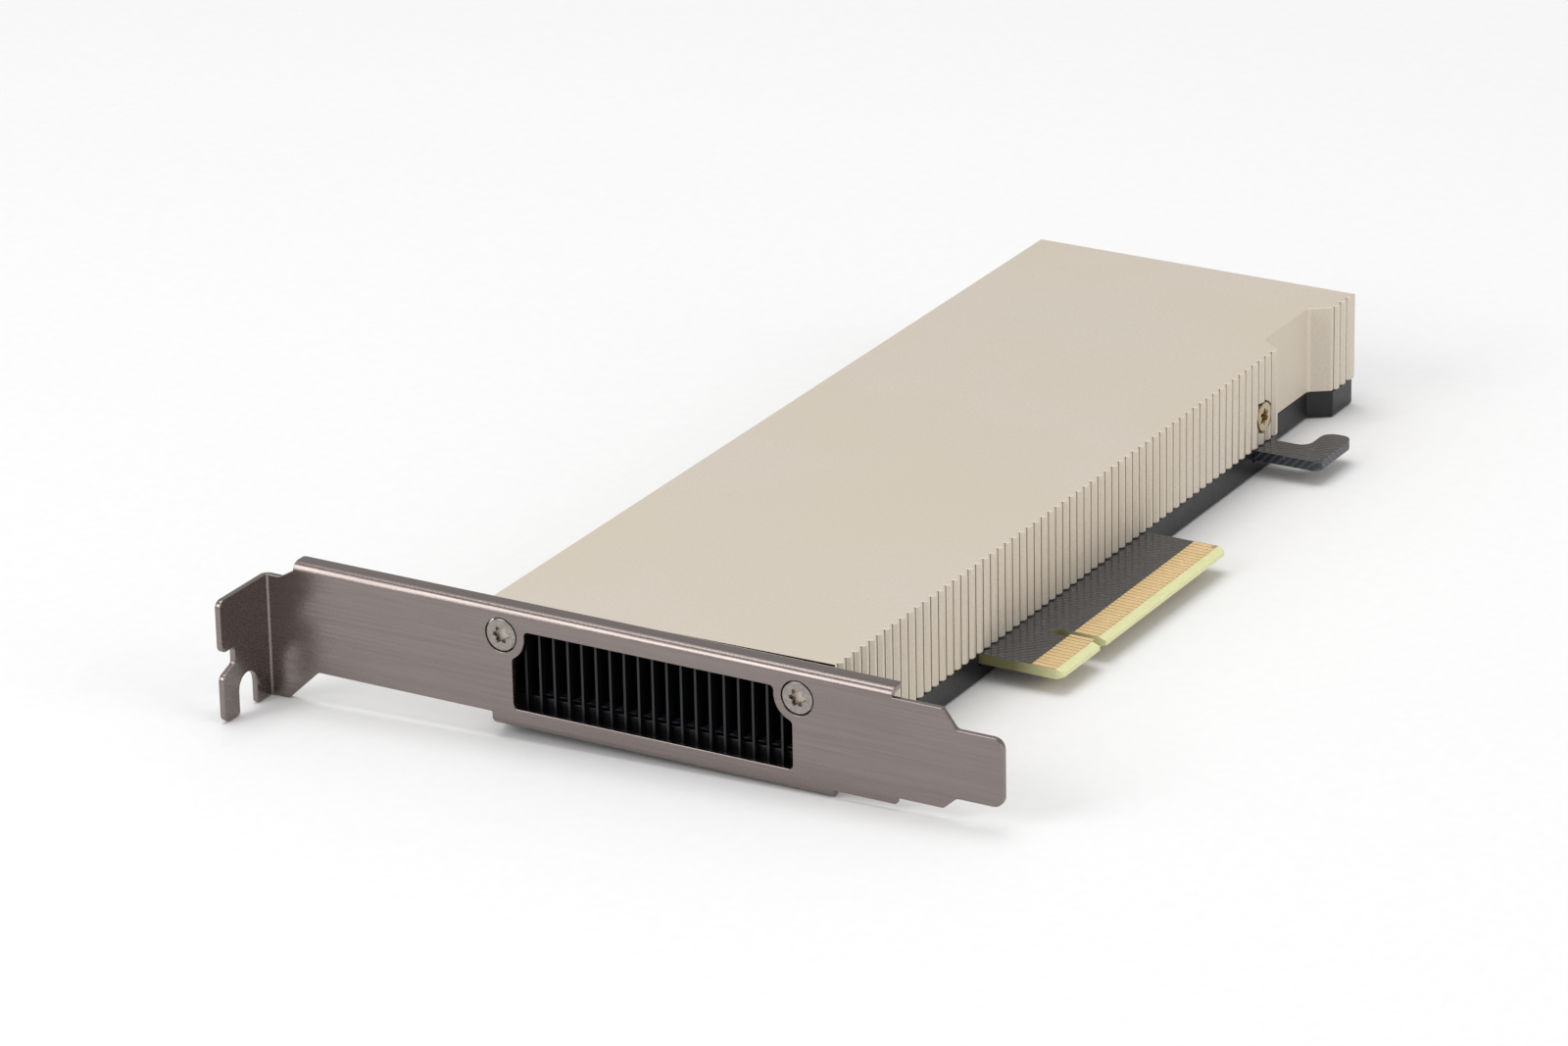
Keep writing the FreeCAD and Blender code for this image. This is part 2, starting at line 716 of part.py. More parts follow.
def make_cover():
    """Ribbed cover: flat top, ribbed wall on the connector side, plain wall opposite, hollow near the rear, screw bosses in front."""
    body = new_body("cover_shell")
    outline = new_sketch(body, "cover_outline", "XY_Plane", HALF_BOARD)
    add_rectangle(outline, COVER_FRONT, COVER_REAR, size("cover_low"), size("cover_high"))
    pad(body, "cover_block", outline, size("cover_height"))

    flank = (size("rib_pitch") - size("rib_crest") - size("rib_root")) / 2
    groove_start = COVER_FRONT + size("rib_crest")
    grooves = new_sketch(body, "rib_groove", "XY_Plane", HALF_BOARD)
    add_polygon(grooves, [
        (groove_start, size("cover_low")),
        (groove_start + flank, SIDE_LOW),
        (groove_start + flank + size("rib_root"), SIDE_LOW),
        (groove_start + flank * 2 + size("rib_root"), size("cover_low")),
    ])
    groove = pocket(body, "rib_groove_cut", grooves, backwards=True)
    repeat(body, "rib_row", groove, "X_Axis", size("rib_pitch"),
           whole((size("cover_length") - size("rib_crest")) / size("rib_pitch")))

    hollow = new_sketch(body, "side_hollow", "XY_Plane", HALF_BOARD)
    outside = size("cover_low") - size("overrun")
    add_polygon(hollow, [
        (HOLLOW_FRONT, outside),
        (HOLLOW_FRONT, size("cover_low")),
        (HOLLOW_FRONT + size("hollow_front_run"), HOLLOW_FLOOR),
        (HOLLOW_REAR - size("hollow_rear_run"), HOLLOW_FLOOR),
        (HOLLOW_REAR, size("cover_low")),
        (HOLLOW_REAR, outside),
    ])
    pocket(body, "side_hollow_cut", hollow, backwards=True)
    duct = new_sketch(body, "duct", "XY_Plane", HALF_BOARD)
    add_polygon(duct, follow_hollow(COVER_FRONT, COVER_REAR, INNER_LOW, INNER_HIGH, size("cover_side_wall")))
    pocket(body, "duct_cut", duct, size("cover_height") - size("cover_top_wall"), backwards=True)

    pieces = [body]
    holes = []
    for name, across in BRACKET_SCREW_YS.items():
        pieces.append(cylinder(f"boss_{name}", "+X", BRACKET_BACK, across, SCREW_Z,
                               size("boss"), size("boss_length")))
        holes.append(cylinder(f"boss_thread_{name}", "+X", BRACKET_BACK, across, SCREW_Z,
                              size("thread"), size("boss_length") - size("boss") / 2))
        wall = {"lower": SIDE_LOW, "upper": across}[name]
        reach = {"lower": across - SIDE_LOW, "upper": SIDE_HIGH - across}[name]
        pieces.append(box(f"boss_web_{name}", COVER_FRONT, wall, SCREW_Z - size("boss") / 2,
                          BRACKET_BACK + size("boss_length") - COVER_FRONT, reach, size("boss")))
    wall = size("rib_depth") + size("cover_side_wall")
    for name, (along, crest) in SIDE_SCREWS.items():
        holes.append(cylinder(f"counterbore_{name}", along, SIDE_SCREW_X, crest, SIDE_SCREW_Z,
                              size("side_head") + size("side_bore_gap"), size("side_head_tall")))
        holes.append(cylinder(f"side_hole_{name}", along, SIDE_SCREW_X, crest, SIDE_SCREW_Z,
                              CLEARANCE_HOLE, wall))
    keep("cover", cut("cover_finished", fuse("cover_with_bosses", pieces), holes))


def make_side_screws():
    """Screws through the cover's long sides into the edges of the heat sink's base."""
    for name, (along, crest) in SIDE_SCREWS.items():
        head = cylinder(f"side_head_{name}", along, SIDE_SCREW_X, crest, SIDE_SCREW_Z,
                        size("side_head"), size("side_head_tall"))
        shank = cylinder(f"side_shank_{name}", along, SIDE_SCREW_X, crest, SIDE_SCREW_Z,
                         size("thread"), size("side_screw_long"))
        recess = hexagon_recess(f"side_drive_{name}", along, SIDE_SCREW_X, crest, SIDE_SCREW_Z)
        keep(f"side_screw_{name}", cut(f"side_screw_{name}_cut",
                                       fuse(f"side_screw_{name}_blank", [head, shank]), [recess]))


def post_places():
    """Middles of the tray's four screw posts."""
    inset = TRAY_POST + size("post_side_gap")
    posts = {}
    for column, x in (("front", POST_FRONT), ("rear", POST_REAR)):
        wall = HOLLOW_FLOOR + size("cover_side_wall") if column == "rear" else INNER_LOW
        posts[f"low_{column}"] = (x, wall + inset)
        posts[f"high_{column}"] = (x, INNER_HIGH - inset)
    return posts


def retention_places():
    """Middles of the four screws round the processor."""
    spread = size("retention_spread")
    return {
        "a": (MIDDLE_X - RETENTION_REACH, MIDDLE_Y - spread),
        "b": (MIDDLE_X + RETENTION_REACH, MIDDLE_Y - spread),
        "c": (MIDDLE_X - RETENTION_REACH, MIDDLE_Y + spread),
        "d": (MIDDLE_X + RETENTION_REACH, MIDDLE_Y + spread),
    }


def make_heatsink():
    """Heat sink in one piece: base with pedestal and posts, and a row of skived fins on it."""
    gap = size("sink_gap")
    body = new_body("sink_body")
    outline = new_sketch(body, "sink_outline", "XY_Plane", SINK_LOW)
    low, high = INNER_LOW + gap, INNER_HIGH - gap
    rear = COVER_REAR - size("sink_rear_inset")
    add_polygon(outline, follow_hollow(SINK_FRONT, rear, low, high, size("cover_side_wall") + gap))
    pad(body, "sink_base_pad", outline, size("sink_base"))

    fin_room = INNER_HIGH - INNER_LOW - size("fin_thick") - size("fin_side_room") * 2
    pitches = whole(fin_room / size("fin_pitch"))
    first_fin = MIDDLE_Y - (size("fin_pitch") * pitches + size("fin_thick")) / 2
    profile = new_sketch(body, "fin_profile", "XZ_Plane", -first_fin)
    base_middle = SINK_LOW + size("sink_base") / 2
    toe_low = TRAY_LOW + size("window_bottom") - size("fin_toe_drop")
    add_polygon(profile, [
        (FIN_FRONT, toe_low),
        (FIN_FRONT + size("fin_toe_long"), toe_low),
        (FIN_FRONT + size("fin_toe_long"), HALF_BOARD + size("fin_low")),
        (SINK_FRONT, HALF_BOARD + size("fin_low")),
        (SINK_FRONT, base_middle),
        (rear, base_middle),
        (rear, COVER_CEILING),
        (FIN_FRONT, COVER_CEILING),
    ])
    fin = pad(body, "fin_pad", profile, size("fin_thick"), backwards=True)
    repeat(body, "fin_row", fin, "Y_Axis", size("fin_pitch"), pitches + 1)
    step = new_sketch(body, "sink_step", "XY_Plane", HALF_BOARD)
    edge = follow_hollow(SINK_FRONT, rear, low, high, size("cover_side_wall") + gap)[1:5]
    add_polygon(step, [(edge[0][0], size("cover_low"))] + edge + [(edge[3][0], size("cover_low"))])
    pocket(body, "sink_step_cut", step, backwards=True)

    stack = HALF_BOARD + size("substrate_thick") + size("die_thick") + size("paste_thick")
    pieces = [body, chip("pedestal", MIDDLE_X, MIDDLE_Y, stack,
                         size("pedestal_long"), size("pedestal_wide"), SINK_LOW + gap - stack)]
    holes = []
    for name, (x, y) in post_places().items():
        pieces.append(sealed_round(f"sink_post_{name}", "+Z", x, y, HALF_BOARD, TRAY_POST,
                                   SINK_UNDER + gap))
        depth = size("tray_screw_long") - TRAY_DROP - size("board_thick") + gap
        holes.append(sealed_round(f"sink_thread_{name}", "+Z", x, y, HALF_BOARD, size("thread"), depth))
    for name, (x, y) in retention_places().items():
        pieces.append(sealed_round(f"sink_retention_{name}", "+Z", x, y, HALF_BOARD, size("retention_post"),
                                   SINK_UNDER + gap))
        depth = size("retention_screw_long") - size("retention_thick") - size("board_thick") + gap
        holes.append(sealed_round(f"retention_thread_{name}", "+Z", x, y, HALF_BOARD, size("thread"), depth))
    for name, across in BRACKET_SCREW_YS.items():
        room = size("boss") + size("boss_gap")
        wall = {"lower": INNER_LOW, "upper": across - room}[name]
        reach = {"lower": across + room - INNER_LOW, "upper": INNER_HIGH - across + room}[name]
        holes.append(box(f"sink_room_{name}", BRACKET_BACK, wall, SCREW_Z - room,
                         size("boss_length") + size("boss_gap"), reach, room * 2))
    for name, (along, crest) in SIDE_SCREWS.items():
        holes.append(cylinder(f"sink_side_thread_{name}", along, SIDE_SCREW_X, crest, SIDE_SCREW_Z,
                              size("thread"), size("side_screw_long") + gap))
    keep("heatsink", cut("heatsink_finished", fuse("sink_with_posts", pieces), holes))


def make_board():
    """Circuit board with its edge connector tongue, key notch, bevelled edge and retention hook."""
    rim = size("tray_rim") + size("board_rim_gap")
    low = SIDE_LOW + rim
    inside = HOLLOW_FLOOR + rim + size("overrun")
    hook = size("hook_from_key")
    stem_end = hook + size("hook_stem")
    hook_end = stem_end + size("hook_foot")
    foot_top = size("hook_low") + size("hook_foot_height")
    corner = size("hook_corner")
    chamfer = size("connector_corner")
    body = new_body("board_body")
    outline = new_sketch(body, "board_outline", "XY_Plane", -HALF_BOARD)
    add_polygon(outline, follow_hollow(COVER_FRONT + rim, COVER_REAR - rim, low, SIDE_HIGH - rim, rim))
    pad(body, "board_pad", outline, size("board_thick"))
    tongue = new_sketch(body, "tongue_outline", "XY_Plane", -HALF_BOARD)
    add_polygon(tongue, [
        (TONGUE_FRONT, low + rim),
        (TONGUE_FRONT, chamfer),
        (TONGUE_FRONT + chamfer, 0),
        (TONGUE_REAR - chamfer, 0),
        (TONGUE_REAR, chamfer),
        (TONGUE_REAR, low + rim),
    ])
    pad(body, "tongue_pad", tongue, size("board_thick"))
    hooked = new_sketch(body, "hook_outline", "XY_Plane", -HALF_BOARD)
    add_polygon(hooked, [
        (hook, inside),
        (hook, size("hook_low") + corner / 2),
        (hook + corner / 2, size("hook_low")),
        (hook_end - corner, size("hook_low")),
        (hook_end, size("hook_low") + corner),
        (hook_end, foot_top - corner),
        (hook_end - corner, foot_top),
        (stem_end + corner, foot_top),
        (stem_end, foot_top + corner),
        (stem_end, inside),
    ])
    pad(body, "hook_pad", hooked, size("board_thick"))
    key = new_sketch(body, "key_notch", "XY_Plane", -HALF_BOARD)
    half_key = size("key_width") / 2
    add_rectangle(key, -half_key, half_key, -half_key, size("key_depth") - half_key)
    pocket(body, "key_notch_cut", key, backwards=True)
    key_end = new_sketch(body, "key_notch_end", "XY_Plane", -HALF_BOARD)
    add_circle(key_end, 0, size("key_depth") - half_key, half_key)
    pocket(body, "key_notch_end_cut", key_end, backwards=True)
    bevel = new_sketch(body, "bevel_profile", "YZ_Plane", TONGUE_FRONT - size("overrun"))
    edge = HALF_BOARD - size("bevel_depth")
    for side in (-1, 1):
        add_polygon(bevel, [
            (-size("overrun"), HALF_BOARD * side),
            (-size("overrun"), edge * side),
            (0, edge * side),
            (size("bevel_rise"), HALF_BOARD * side),
        ])
    pocket(body, "bevel_cut", bevel, TONGUE_REAR - TONGUE_FRONT + size("overrun") * 2, backwards=True)
    places = {**post_places(), **retention_places()}
    holes = [sealed_round(f"board_hole_{name}", "+Z", x, y, -HALF_BOARD, CLEARANCE_HOLE, size("board_thick"))
             for name, (x, y) in places.items()]
    keep("circuit_board", cut("board_drilled", body, holes))


def contact_centres():
    """Places of the contacts along the edge, on both sides of the key notch."""
    pitch = size("contact_pitch")
    before = [-CONTACT_FIRST - pitch * step for step in range(copies("contact_count_before_key"))]
    after = [CONTACT_FIRST + pitch * step for step in range(copies("contact_count_after_key"))]
    return before[::-1] + after


def make_contacts():
    """Gold contacts on both faces of the tongue; the last one of the component side is short."""
    thick = size("contact_thick")
    for label, base in (("contacts_component_side", HALF_BOARD), ("contacts_solder_side", -HALF_BOARD - thick)):
        pads = []
        centres = contact_centres()
        for number, centre in enumerate(centres):
            start = size("bevel_rise") + size("contact_bevel_gap")
            if number == len(centres) - 1:
                start = start + size("contact_short")
            pads.append(box(f"{label}_{number}", centre - size("contact_width") / 2, start, base,
                            size("contact_width"), size("contact_end") - start, thick))
        keep(label, group(f"{label}_pads", pads))


def make_processor():
    """Processor: substrate, bare die and the paste that joins it to the heat sink's pedestal."""
    side = size("substrate_side")
    die_base = HALF_BOARD + size("substrate_thick")
    keep("processor_substrate", chip("substrate", MIDDLE_X, MIDDLE_Y, HALF_BOARD, side, side, size("substrate_thick")))
    keep("processor_die", chip("die", MIDDLE_X, MIDDLE_Y, die_base, size("die_long"), size("die_wide"), size("die_thick")))
    keep("thermal_paste", chip("paste", MIDDLE_X, MIDDLE_Y, die_base + size("die_thick"),
                               size("die_long"), size("die_wide"), size("paste_thick")))


def make_memory():
    """Memory chips on both faces of the board, each with a soft pad to the metal beside it."""
    tall = size("memory_thick")
    sides = {
        "memory_chips": (HALF_BOARD, tall),
        "memory_pads": (HALF_BOARD + tall, SINK_UNDER - tall),
        "memory_chips_back": (-HALF_BOARD - tall, tall),
        "memory_pads_back": (INSULATOR_LOW + size("insulator"), BACK_ROOM - tall),
    }
    for label, (base, height) in sides.items():
        chips = []
        for column, side in (("front", -1), ("rear", 1)):
            for row, rise in (("low", -1), ("high", 1)):
                chips.append(chip(f"{label}_{column}_{row}", MIDDLE_X + MEMORY_REACH * side,
                                  MIDDLE_Y + size("memory_spread") * rise,
                                  base, size("memory_long"), size("memory_wide"), height))
        keep(label, group(f"{label}_group", chips))


def make_power_supply():
    """Power stages with pads, inductors and polymer capacitors, one of each for every phase."""
    inductor_at = (MIDDLE_X + MEMORY_REACH + size("memory_long") / 2 + size("inductor_gap")
                   + size("inductor_side") / 2)
    stage_at = inductor_at + (size("inductor_side") + size("stage_side")) / 2 + size("supply_gap")
    polymer_at = stage_at + (size("stage_side") + size("polymer_long")) / 2 + size("supply_gap")
    inductor, stage = (size("inductor_side"),) * 2, (size("stage_side"),) * 2
    polymer = (size("polymer_long"), size("polymer_wide"))
    stage_high = HALF_BOARD + size("stage_thick")
    rows = {
        "power_inductors": (inductor_at, HALF_BOARD, *inductor, size("inductor_tall")),
        "power_stages": (stage_at, HALF_BOARD, *stage, size("stage_thick")),
        "power_stage_pads": (stage_at, stage_high, *stage, SINK_LOW - stage_high),
        "polymer_capacitors": (polymer_at, HALF_BOARD, *polymer, size("polymer_tall")),
    }
    pitch = size("inductor_side") + size("phase_gap")
    count = copies("phase_count")
    for label, (at, base, long, wide, tall) in rows.items():
        pieces = []
        for phase in range(count):
            up = MIDDLE_Y + pitch * (phase - (count - 1) / 2)
            pieces.append(chip(f"{label}_{phase}", at, up, base, long, wide, tall))
        keep(label, group(f"{label}_row", pieces))


def make_small_parts():
    """Controller, flash memory, clock and the two rows of ceramic capacitors beside the processor."""
    at = POST_FRONT + size("small_parts_gap")
    keep("power_controller", chip("controller", at, MIDDLE_Y - size("controller_below"), HALF_BOARD,
                                  size("controller_side"), size("controller_side"), size("controller_thick")))
    keep("flash_chip", chip("flash", at, MIDDLE_Y + size("flash_above"), HALF_BOARD,
                            size("flash_long"), size("flash_wide"), size("flash_thick")))
    keep("clock_oscillator", chip("clock", at, MIDDLE_Y + size("clock_above"), HALF_BOARD,
                                  size("clock_long"), size("clock_wide"), size("clock_thick")))
    ceramics = []
    reach = size("substrate_side") / 2 + size("ceramic_gap")
    count = copies("ceramic_count")
    for row, side in (("front", -1), ("rear", 1)):
        for number in range(count):
            ceramics.append(chip(f"ceramic_{row}_{number}", MIDDLE_X + reach * side,
                                 MIDDLE_Y + size("ceramic_pitch") * (number - (count - 1) / 2), HALF_BOARD,
                                 size("ceramic_wide"), size("ceramic_long"), size("ceramic_tall")))
    keep("ceramic_capacitors", group("ceramic_rows", ceramics))


def make_tray():
    """Black tray: floor, rim with slots for the tongue and the hook, and four screw posts."""
    body = new_body("tray_body")
    outline = new_sketch(body, "tray_outline", "XY_Plane", TRAY_LOW)
    add_polygon(outline, follow_hollow(COVER_FRONT, COVER_REAR, SIDE_LOW, SIDE_HIGH, 0))
    pad(body, "tray_pad", outline, HALF_BOARD - TRAY_LOW)
    rim = size("tray_rim")
    room = new_sketch(body, "tray_room", "XY_Plane", INSULATOR_LOW)
    add_polygon(room, follow_hollow(COVER_FRONT + rim, COVER_REAR - rim, SIDE_LOW + rim, SIDE_HIGH - rim, rim))
    pocket(body, "tray_room_cut", room, backwards=True)
    gap = size("tray_slot_gap")
    slots = new_sketch(body, "rim_slots", "XY_Plane", -HALF_BOARD - gap)
    hook = size("hook_from_key")
    for left, right, inside in ((TONGUE_FRONT, TONGUE_REAR, SIDE_LOW),
                                (hook, hook + size("hook_stem"), HOLLOW_FLOOR)):
        add_rectangle(slots, left - gap, right + gap, size("cover_low"), inside + rim)
    pocket(body, "rim_slots_cut", slots, backwards=True)
    pieces = [body]
    holes = []
    for name, (x, y) in post_places().items():
        pieces.append(sealed_round(f"tray_post_{name}", "+Z", x, y, TRAY_LOW, TRAY_POST, TRAY_DROP))
        holes.append(sealed_round(f"tray_hole_{name}", "+Z", x, y, TRAY_LOW, CLEARANCE_HOLE, TRAY_DROP))
        holes.append(cone(f"tray_sink_{name}", "+Z", x, y, TRAY_LOW, size("tray_head"), size("thread"),
                          size("tray_head_tall")))
    keep("back_tray", cut("tray_finished", fuse("tray_with_posts", pieces), holes))


def make_tray_screws():
    """Flat-head screws from under the tray, through the board, into the heat sink's posts."""
    screws = []
    for name, (x, y) in post_places().items():
        head = cone(f"tray_head_{name}", "+Z", x, y, TRAY_LOW, size("tray_head"), size("thread"),
                    size("tray_head_tall"))
        shank = sealed_round(f"tray_shank_{name}", "+Z", x, y, TRAY_LOW, size("thread"), size("tray_screw_long"))
        recess = hexagon_recess(f"tray_drive_{name}", "+Z", x, y, TRAY_LOW)
        screws.append(cut(f"tray_screw_{name}", fuse(f"tray_blank_{name}", [head, shank]), [recess]))
    keep("tray_screws", group("tray_screw_set", screws))


def make_retention():
    """Cross-shaped plate behind the processor and the four screws that pull the heat sink down."""
    reach, spread = RETENTION_REACH, size("retention_spread")
    arm = size("retention_arm") / 2
    base = -HALF_BOARD - size("retention_thick")
    body = new_body("retention_body")
    outline = new_sketch(body, "retention_outline", "XY_Plane", base)
    add_rectangle(outline, MIDDLE_X - reach - arm, MIDDLE_X + reach + arm,
                  MIDDLE_Y - spread - arm, MIDDLE_Y + spread + arm)
    pad(body, "retention_pad", outline, size("retention_thick"))
    windows = new_sketch(body, "retention_windows", "XY_Plane", base)
    for near, far in ((MIDDLE_X - reach + arm, MIDDLE_X - arm), (MIDDLE_X + arm, MIDDLE_X + reach - arm)):
        add_rectangle(windows, near, far, MIDDLE_Y - spread + arm, MIDDLE_Y + spread - arm)
    pocket(body, "retention_windows_cut", windows, backwards=True)
    holes = [sealed_round(f"retention_hole_{name}", "+Z", x, y, base, CLEARANCE_HOLE, size("retention_thick"))
             for name, (x, y) in retention_places().items()]
    keep("retention_plate", cut("retention_drilled", body, holes))
    screws = []
    for name, (x, y) in retention_places().items():
        head_base = base - size("retention_head_tall")
        head = sealed_round(f"retention_head_{name}", "+Z", x, y, head_base, size("retention_head"),
                            size("retention_head_tall"))
        shank = sealed_round(f"retention_shank_{name}", "+Z", x, y, base, size("thread"), size("retention_screw_long"))
        screws.append(fuse(f"retention_screw_{name}", [head, shank]))
    keep("retention_screws", group("retention_screw_set", screws))


def make_insulator():
    """Thin insulating sheet on the tray's floor, between the two rows of posts."""
    rim = size("tray_rim") + size("insulator_gap")
    rows = post_places()
    clear = TRAY_POST + size("insulator_gap")
    low = rows["low_rear"][1] + clear
    keep("insulator_sheet", box("insulator", COVER_FRONT + rim, low, INSULATOR_LOW,
                                size("cover_length") - rim * 2, rows["high_rear"][1] - clear - low,
                                size("insulator")))


def check_pieces():
    """Stop if any object failed or any piece is empty or not valid."""
    DOC.recompute()
    for item in DOC.Objects:
        if "Invalid" in item.State or "Error" in item.State:
            raise RuntimeError(f"{item.Name} failed: {item.State}")
    for label, item in NODES.items():
        if item.Shape.isNull() or not item.Shape.isValid() or not item.Shape.Solids:
            raise RuntimeError(f"{label} has no valid solid")


def main():
    """Build every piece and write one file for each."""
    make_bracket()
    make_bracket_screws()
    make_cover()
    make_side_screws()
    make_heatsink()
    make_board()
    make_contacts()
    make_processor()
    make_memory()
    make_power_supply()
    make_small_parts()
    make_tray()
    make_tray_screws()
    make_retention()
    make_insulator()
    check_pieces()
    os.makedirs("parts", exist_ok=True)
    for label, item in NODES.items():
        item.Shape.exportStep(f"parts/{label}.step")
        bounds = item.Shape.BoundBox
        print(f"{label}: {len(item.Shape.Solids)} solids, volume {item.Shape.Volume:.1f}, "
              f"{bounds.XLength:.2f} x {bounds.YLength:.2f} x {bounds.ZLength:.2f}")


main()
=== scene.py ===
"""Dresses the passive accelerator card for Blender 4.5: shapes with broken edges, finishes and a plain studio.

Sizes are in millimetres in the part's own frame: +X from the bracket to the rear end, +Y from the edge
connector up to the bracket's screw tab, +Z to the component side.
"""
import logging
import math
from dataclasses import dataclass, field
from enum import Enum
from typing import Callable, Sequence

import bmesh
import bpy
import numpy as np
from mathutils import Matrix, Vector
from mathutils.geometry import delaunay_2d_cdt


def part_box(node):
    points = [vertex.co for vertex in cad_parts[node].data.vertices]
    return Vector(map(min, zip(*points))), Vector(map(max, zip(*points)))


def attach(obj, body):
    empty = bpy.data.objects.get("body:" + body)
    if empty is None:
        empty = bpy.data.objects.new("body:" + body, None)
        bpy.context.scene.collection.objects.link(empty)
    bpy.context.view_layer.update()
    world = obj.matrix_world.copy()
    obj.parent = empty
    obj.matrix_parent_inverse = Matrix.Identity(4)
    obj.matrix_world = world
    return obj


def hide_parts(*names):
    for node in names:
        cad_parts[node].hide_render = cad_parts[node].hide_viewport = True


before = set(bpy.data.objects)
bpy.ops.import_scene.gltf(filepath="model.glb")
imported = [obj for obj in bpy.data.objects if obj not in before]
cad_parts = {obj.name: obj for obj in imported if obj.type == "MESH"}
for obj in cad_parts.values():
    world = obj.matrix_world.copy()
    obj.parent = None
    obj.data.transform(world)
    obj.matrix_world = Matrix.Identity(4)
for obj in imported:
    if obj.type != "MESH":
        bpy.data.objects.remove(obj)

LOG = logging.getLogger("accelerator_card")
MM = 0.001
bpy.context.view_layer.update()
BODY = "root"
# Points nearer than this, in millimetres, are one point.
WELD = 0.0005
QUARTER = math.pi / 2
FULL_TURN = 2 * math.pi
# Points on the quarter circle of a broken edge.
EDGE_STEPS = 4
# How far a cutter or a crease runs past what it cuts, in millimetres.
PAST = 1.0
# A slot's end is round, and its corners' radius is this much less than half its width, so that they stay apart.
HAIR = 0.01
# The kind of result of Blender's triangulation that fills the whole hull of the points.
WHOLE_HULL = 0
# A face is upright where the z part of its normal is smaller than this.
UPRIGHT = 0.3
# Faces that meet at a smaller angle are shaded as one curved surface.
SMOOTH_ANGLE = math.radians(38)

Place = Callable[[np.ndarray], np.ndarray]


# --- mesh helpers -------------------------------------------------------------------------------------------


@dataclass
class Patch:
    """Part of a mesh: points in millimetres and faces as rows of indices."""

    points: np.ndarray
    faces: np.ndarray


def node_box(name: str) -> tuple[np.ndarray, np.ndarray]:
    """Corners of a CAD node.

    Args:
        name: the node's name.

    Returns:
        Its lowest and highest corner in millimetres.
    """
    low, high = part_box(name)
    return np.array(low) / MM, np.array(high) / MM


def node_middle(name: str) -> np.ndarray:
    """Middle of a CAD node's box in millimetres."""
    low, high = node_box(name)
    return (low + high) / 2


def grid_patch(points: np.ndarray, closed: bool = False) -> Patch:
    """Quads over a grid of points, where each row is joined to the next one.

    Args:
        points: array of rows, columns and 3.
        closed: whether the last column meets the first one.

    Returns:
        The patch.
    """
    rows, columns = points.shape[:2]
    row = np.arange(rows - 1)[:, None] * columns
    column = np.arange(columns if closed else columns - 1)[None, :]
    after = (column + 1) % columns
    quads = np.stack([row + column, row + after, row + columns + after, row + columns + column], axis=-1)
    return Patch(points.reshape(-1, 3), quads.reshape(-1, 4))


def rounded(corners: Sequence[tuple[float, float, float]], steps: int = 5) -> np.ndarray:
    """Outline whose corners are tangent arcs.

    An arc's centre lies on the corner's bisector, at its radius over the sine of half the corner's angle.
    Its points turn evenly from one tangent point to the other.

    Args:
        corners: across, up and radius of each corner, in order.
        steps: points on each arc.

    Returns:
        The outline's points, without doubles.
    """
    table = np.array(corners, float)
    corner, radius = table[:, :2], table[:, 2:]
    to_last = np.roll(corner, 1, axis=0) - corner
    to_next = np.roll(corner, -1, axis=0) - corner
    to_last /= np.linalg.norm(to_last, axis=1, keepdims=True)
    to_next /= np.linalg.norm(to_next, axis=1, keepdims=True)
    half = np.arccos(np.clip((to_last * to_next).sum(axis=1, keepdims=True), -1, 1)) / 2
    bisector = to_last + to_next
    bisector /= np.maximum(np.linalg.norm(bisector, axis=1, keepdims=True), WELD)
    centre = corner + bisector * radius / np.sin(half)
    start = corner + to_last * radius / np.tan(half) - centre
    end = corner + to_next * radius / np.tan(half) - centre
    sweep = np.maximum(math.pi - 2 * half, WELD)[:, None, :]
    share = np.linspace(0, 1, steps)[None, :, None]
    arc = (np.sin((1 - share) * sweep) * start[:, None] + np.sin(share * sweep) * end[:, None]) / np.sin(sweep)
    return without_doubles((centre[:, None] + arc).reshape(-1, 2))


def without_doubles(loop: np.ndarray) -> np.ndarray:
    """The loop without points that lie on the one before."""
    return loop[np.linalg.norm(loop - np.roll(loop, 1, axis=0), axis=1) > WELD]


def circle(across: float, up: float, radius: float, steps: int = 48) -> np.ndarray:
    """Clockwise loop round a hole."""
    turn = np.linspace(0, -FULL_TURN, steps, endpoint=False)
    return np.stack([across + radius * np.cos(turn), up + radius * np.sin(turn)], axis=1)


def arc(middle: np.ndarray, radius: float, start: np.ndarray, end: np.ndarray, steps: int) -> np.ndarray:
    """Points on an arc.

    Args:
        middle: the arc's middle.
        radius: its radius.
        start: direction from the middle to the first point.
        end: direction to the last point, less than half a turn away.
        steps: points on the arc.

    Returns:
        The points, evenly spaced.
    """
    turn = np.linspace(*np.unwrap([math.atan2(way[1], way[0]) for way in (start, end)]), steps)
    return middle + radius * np.stack([np.cos(turn), np.sin(turn)], axis=1)


def split_at(loop: np.ndarray, axis: int, values: np.ndarray) -> np.ndarray:
    """Adds a point wherever an edge of a loop crosses one of the lines.

    Args:
        loop: the loop's points.
        axis: 0 for lines across the first direction, 1 for the second.
        values: where the lines are.

    Returns:
        The loop with the added points in order.
    """
    run = np.roll(loop, -1, axis=0) - loop
    with np.errstate(divide="ignore", invalid="ignore"):
        share = (values[None, :] - loop[:, axis, None]) / run[:, axis, None]
    edge, line = np.nonzero((share > WELD) & (share < 1 - WELD))
    part = share[edge, line]
    keys = np.concatenate([np.arange(len(loop)), edge + part])
    points = np.concatenate([loop, loop[edge] + run[edge] * part[:, None]])
    return points[np.argsort(keys, kind="stable")]


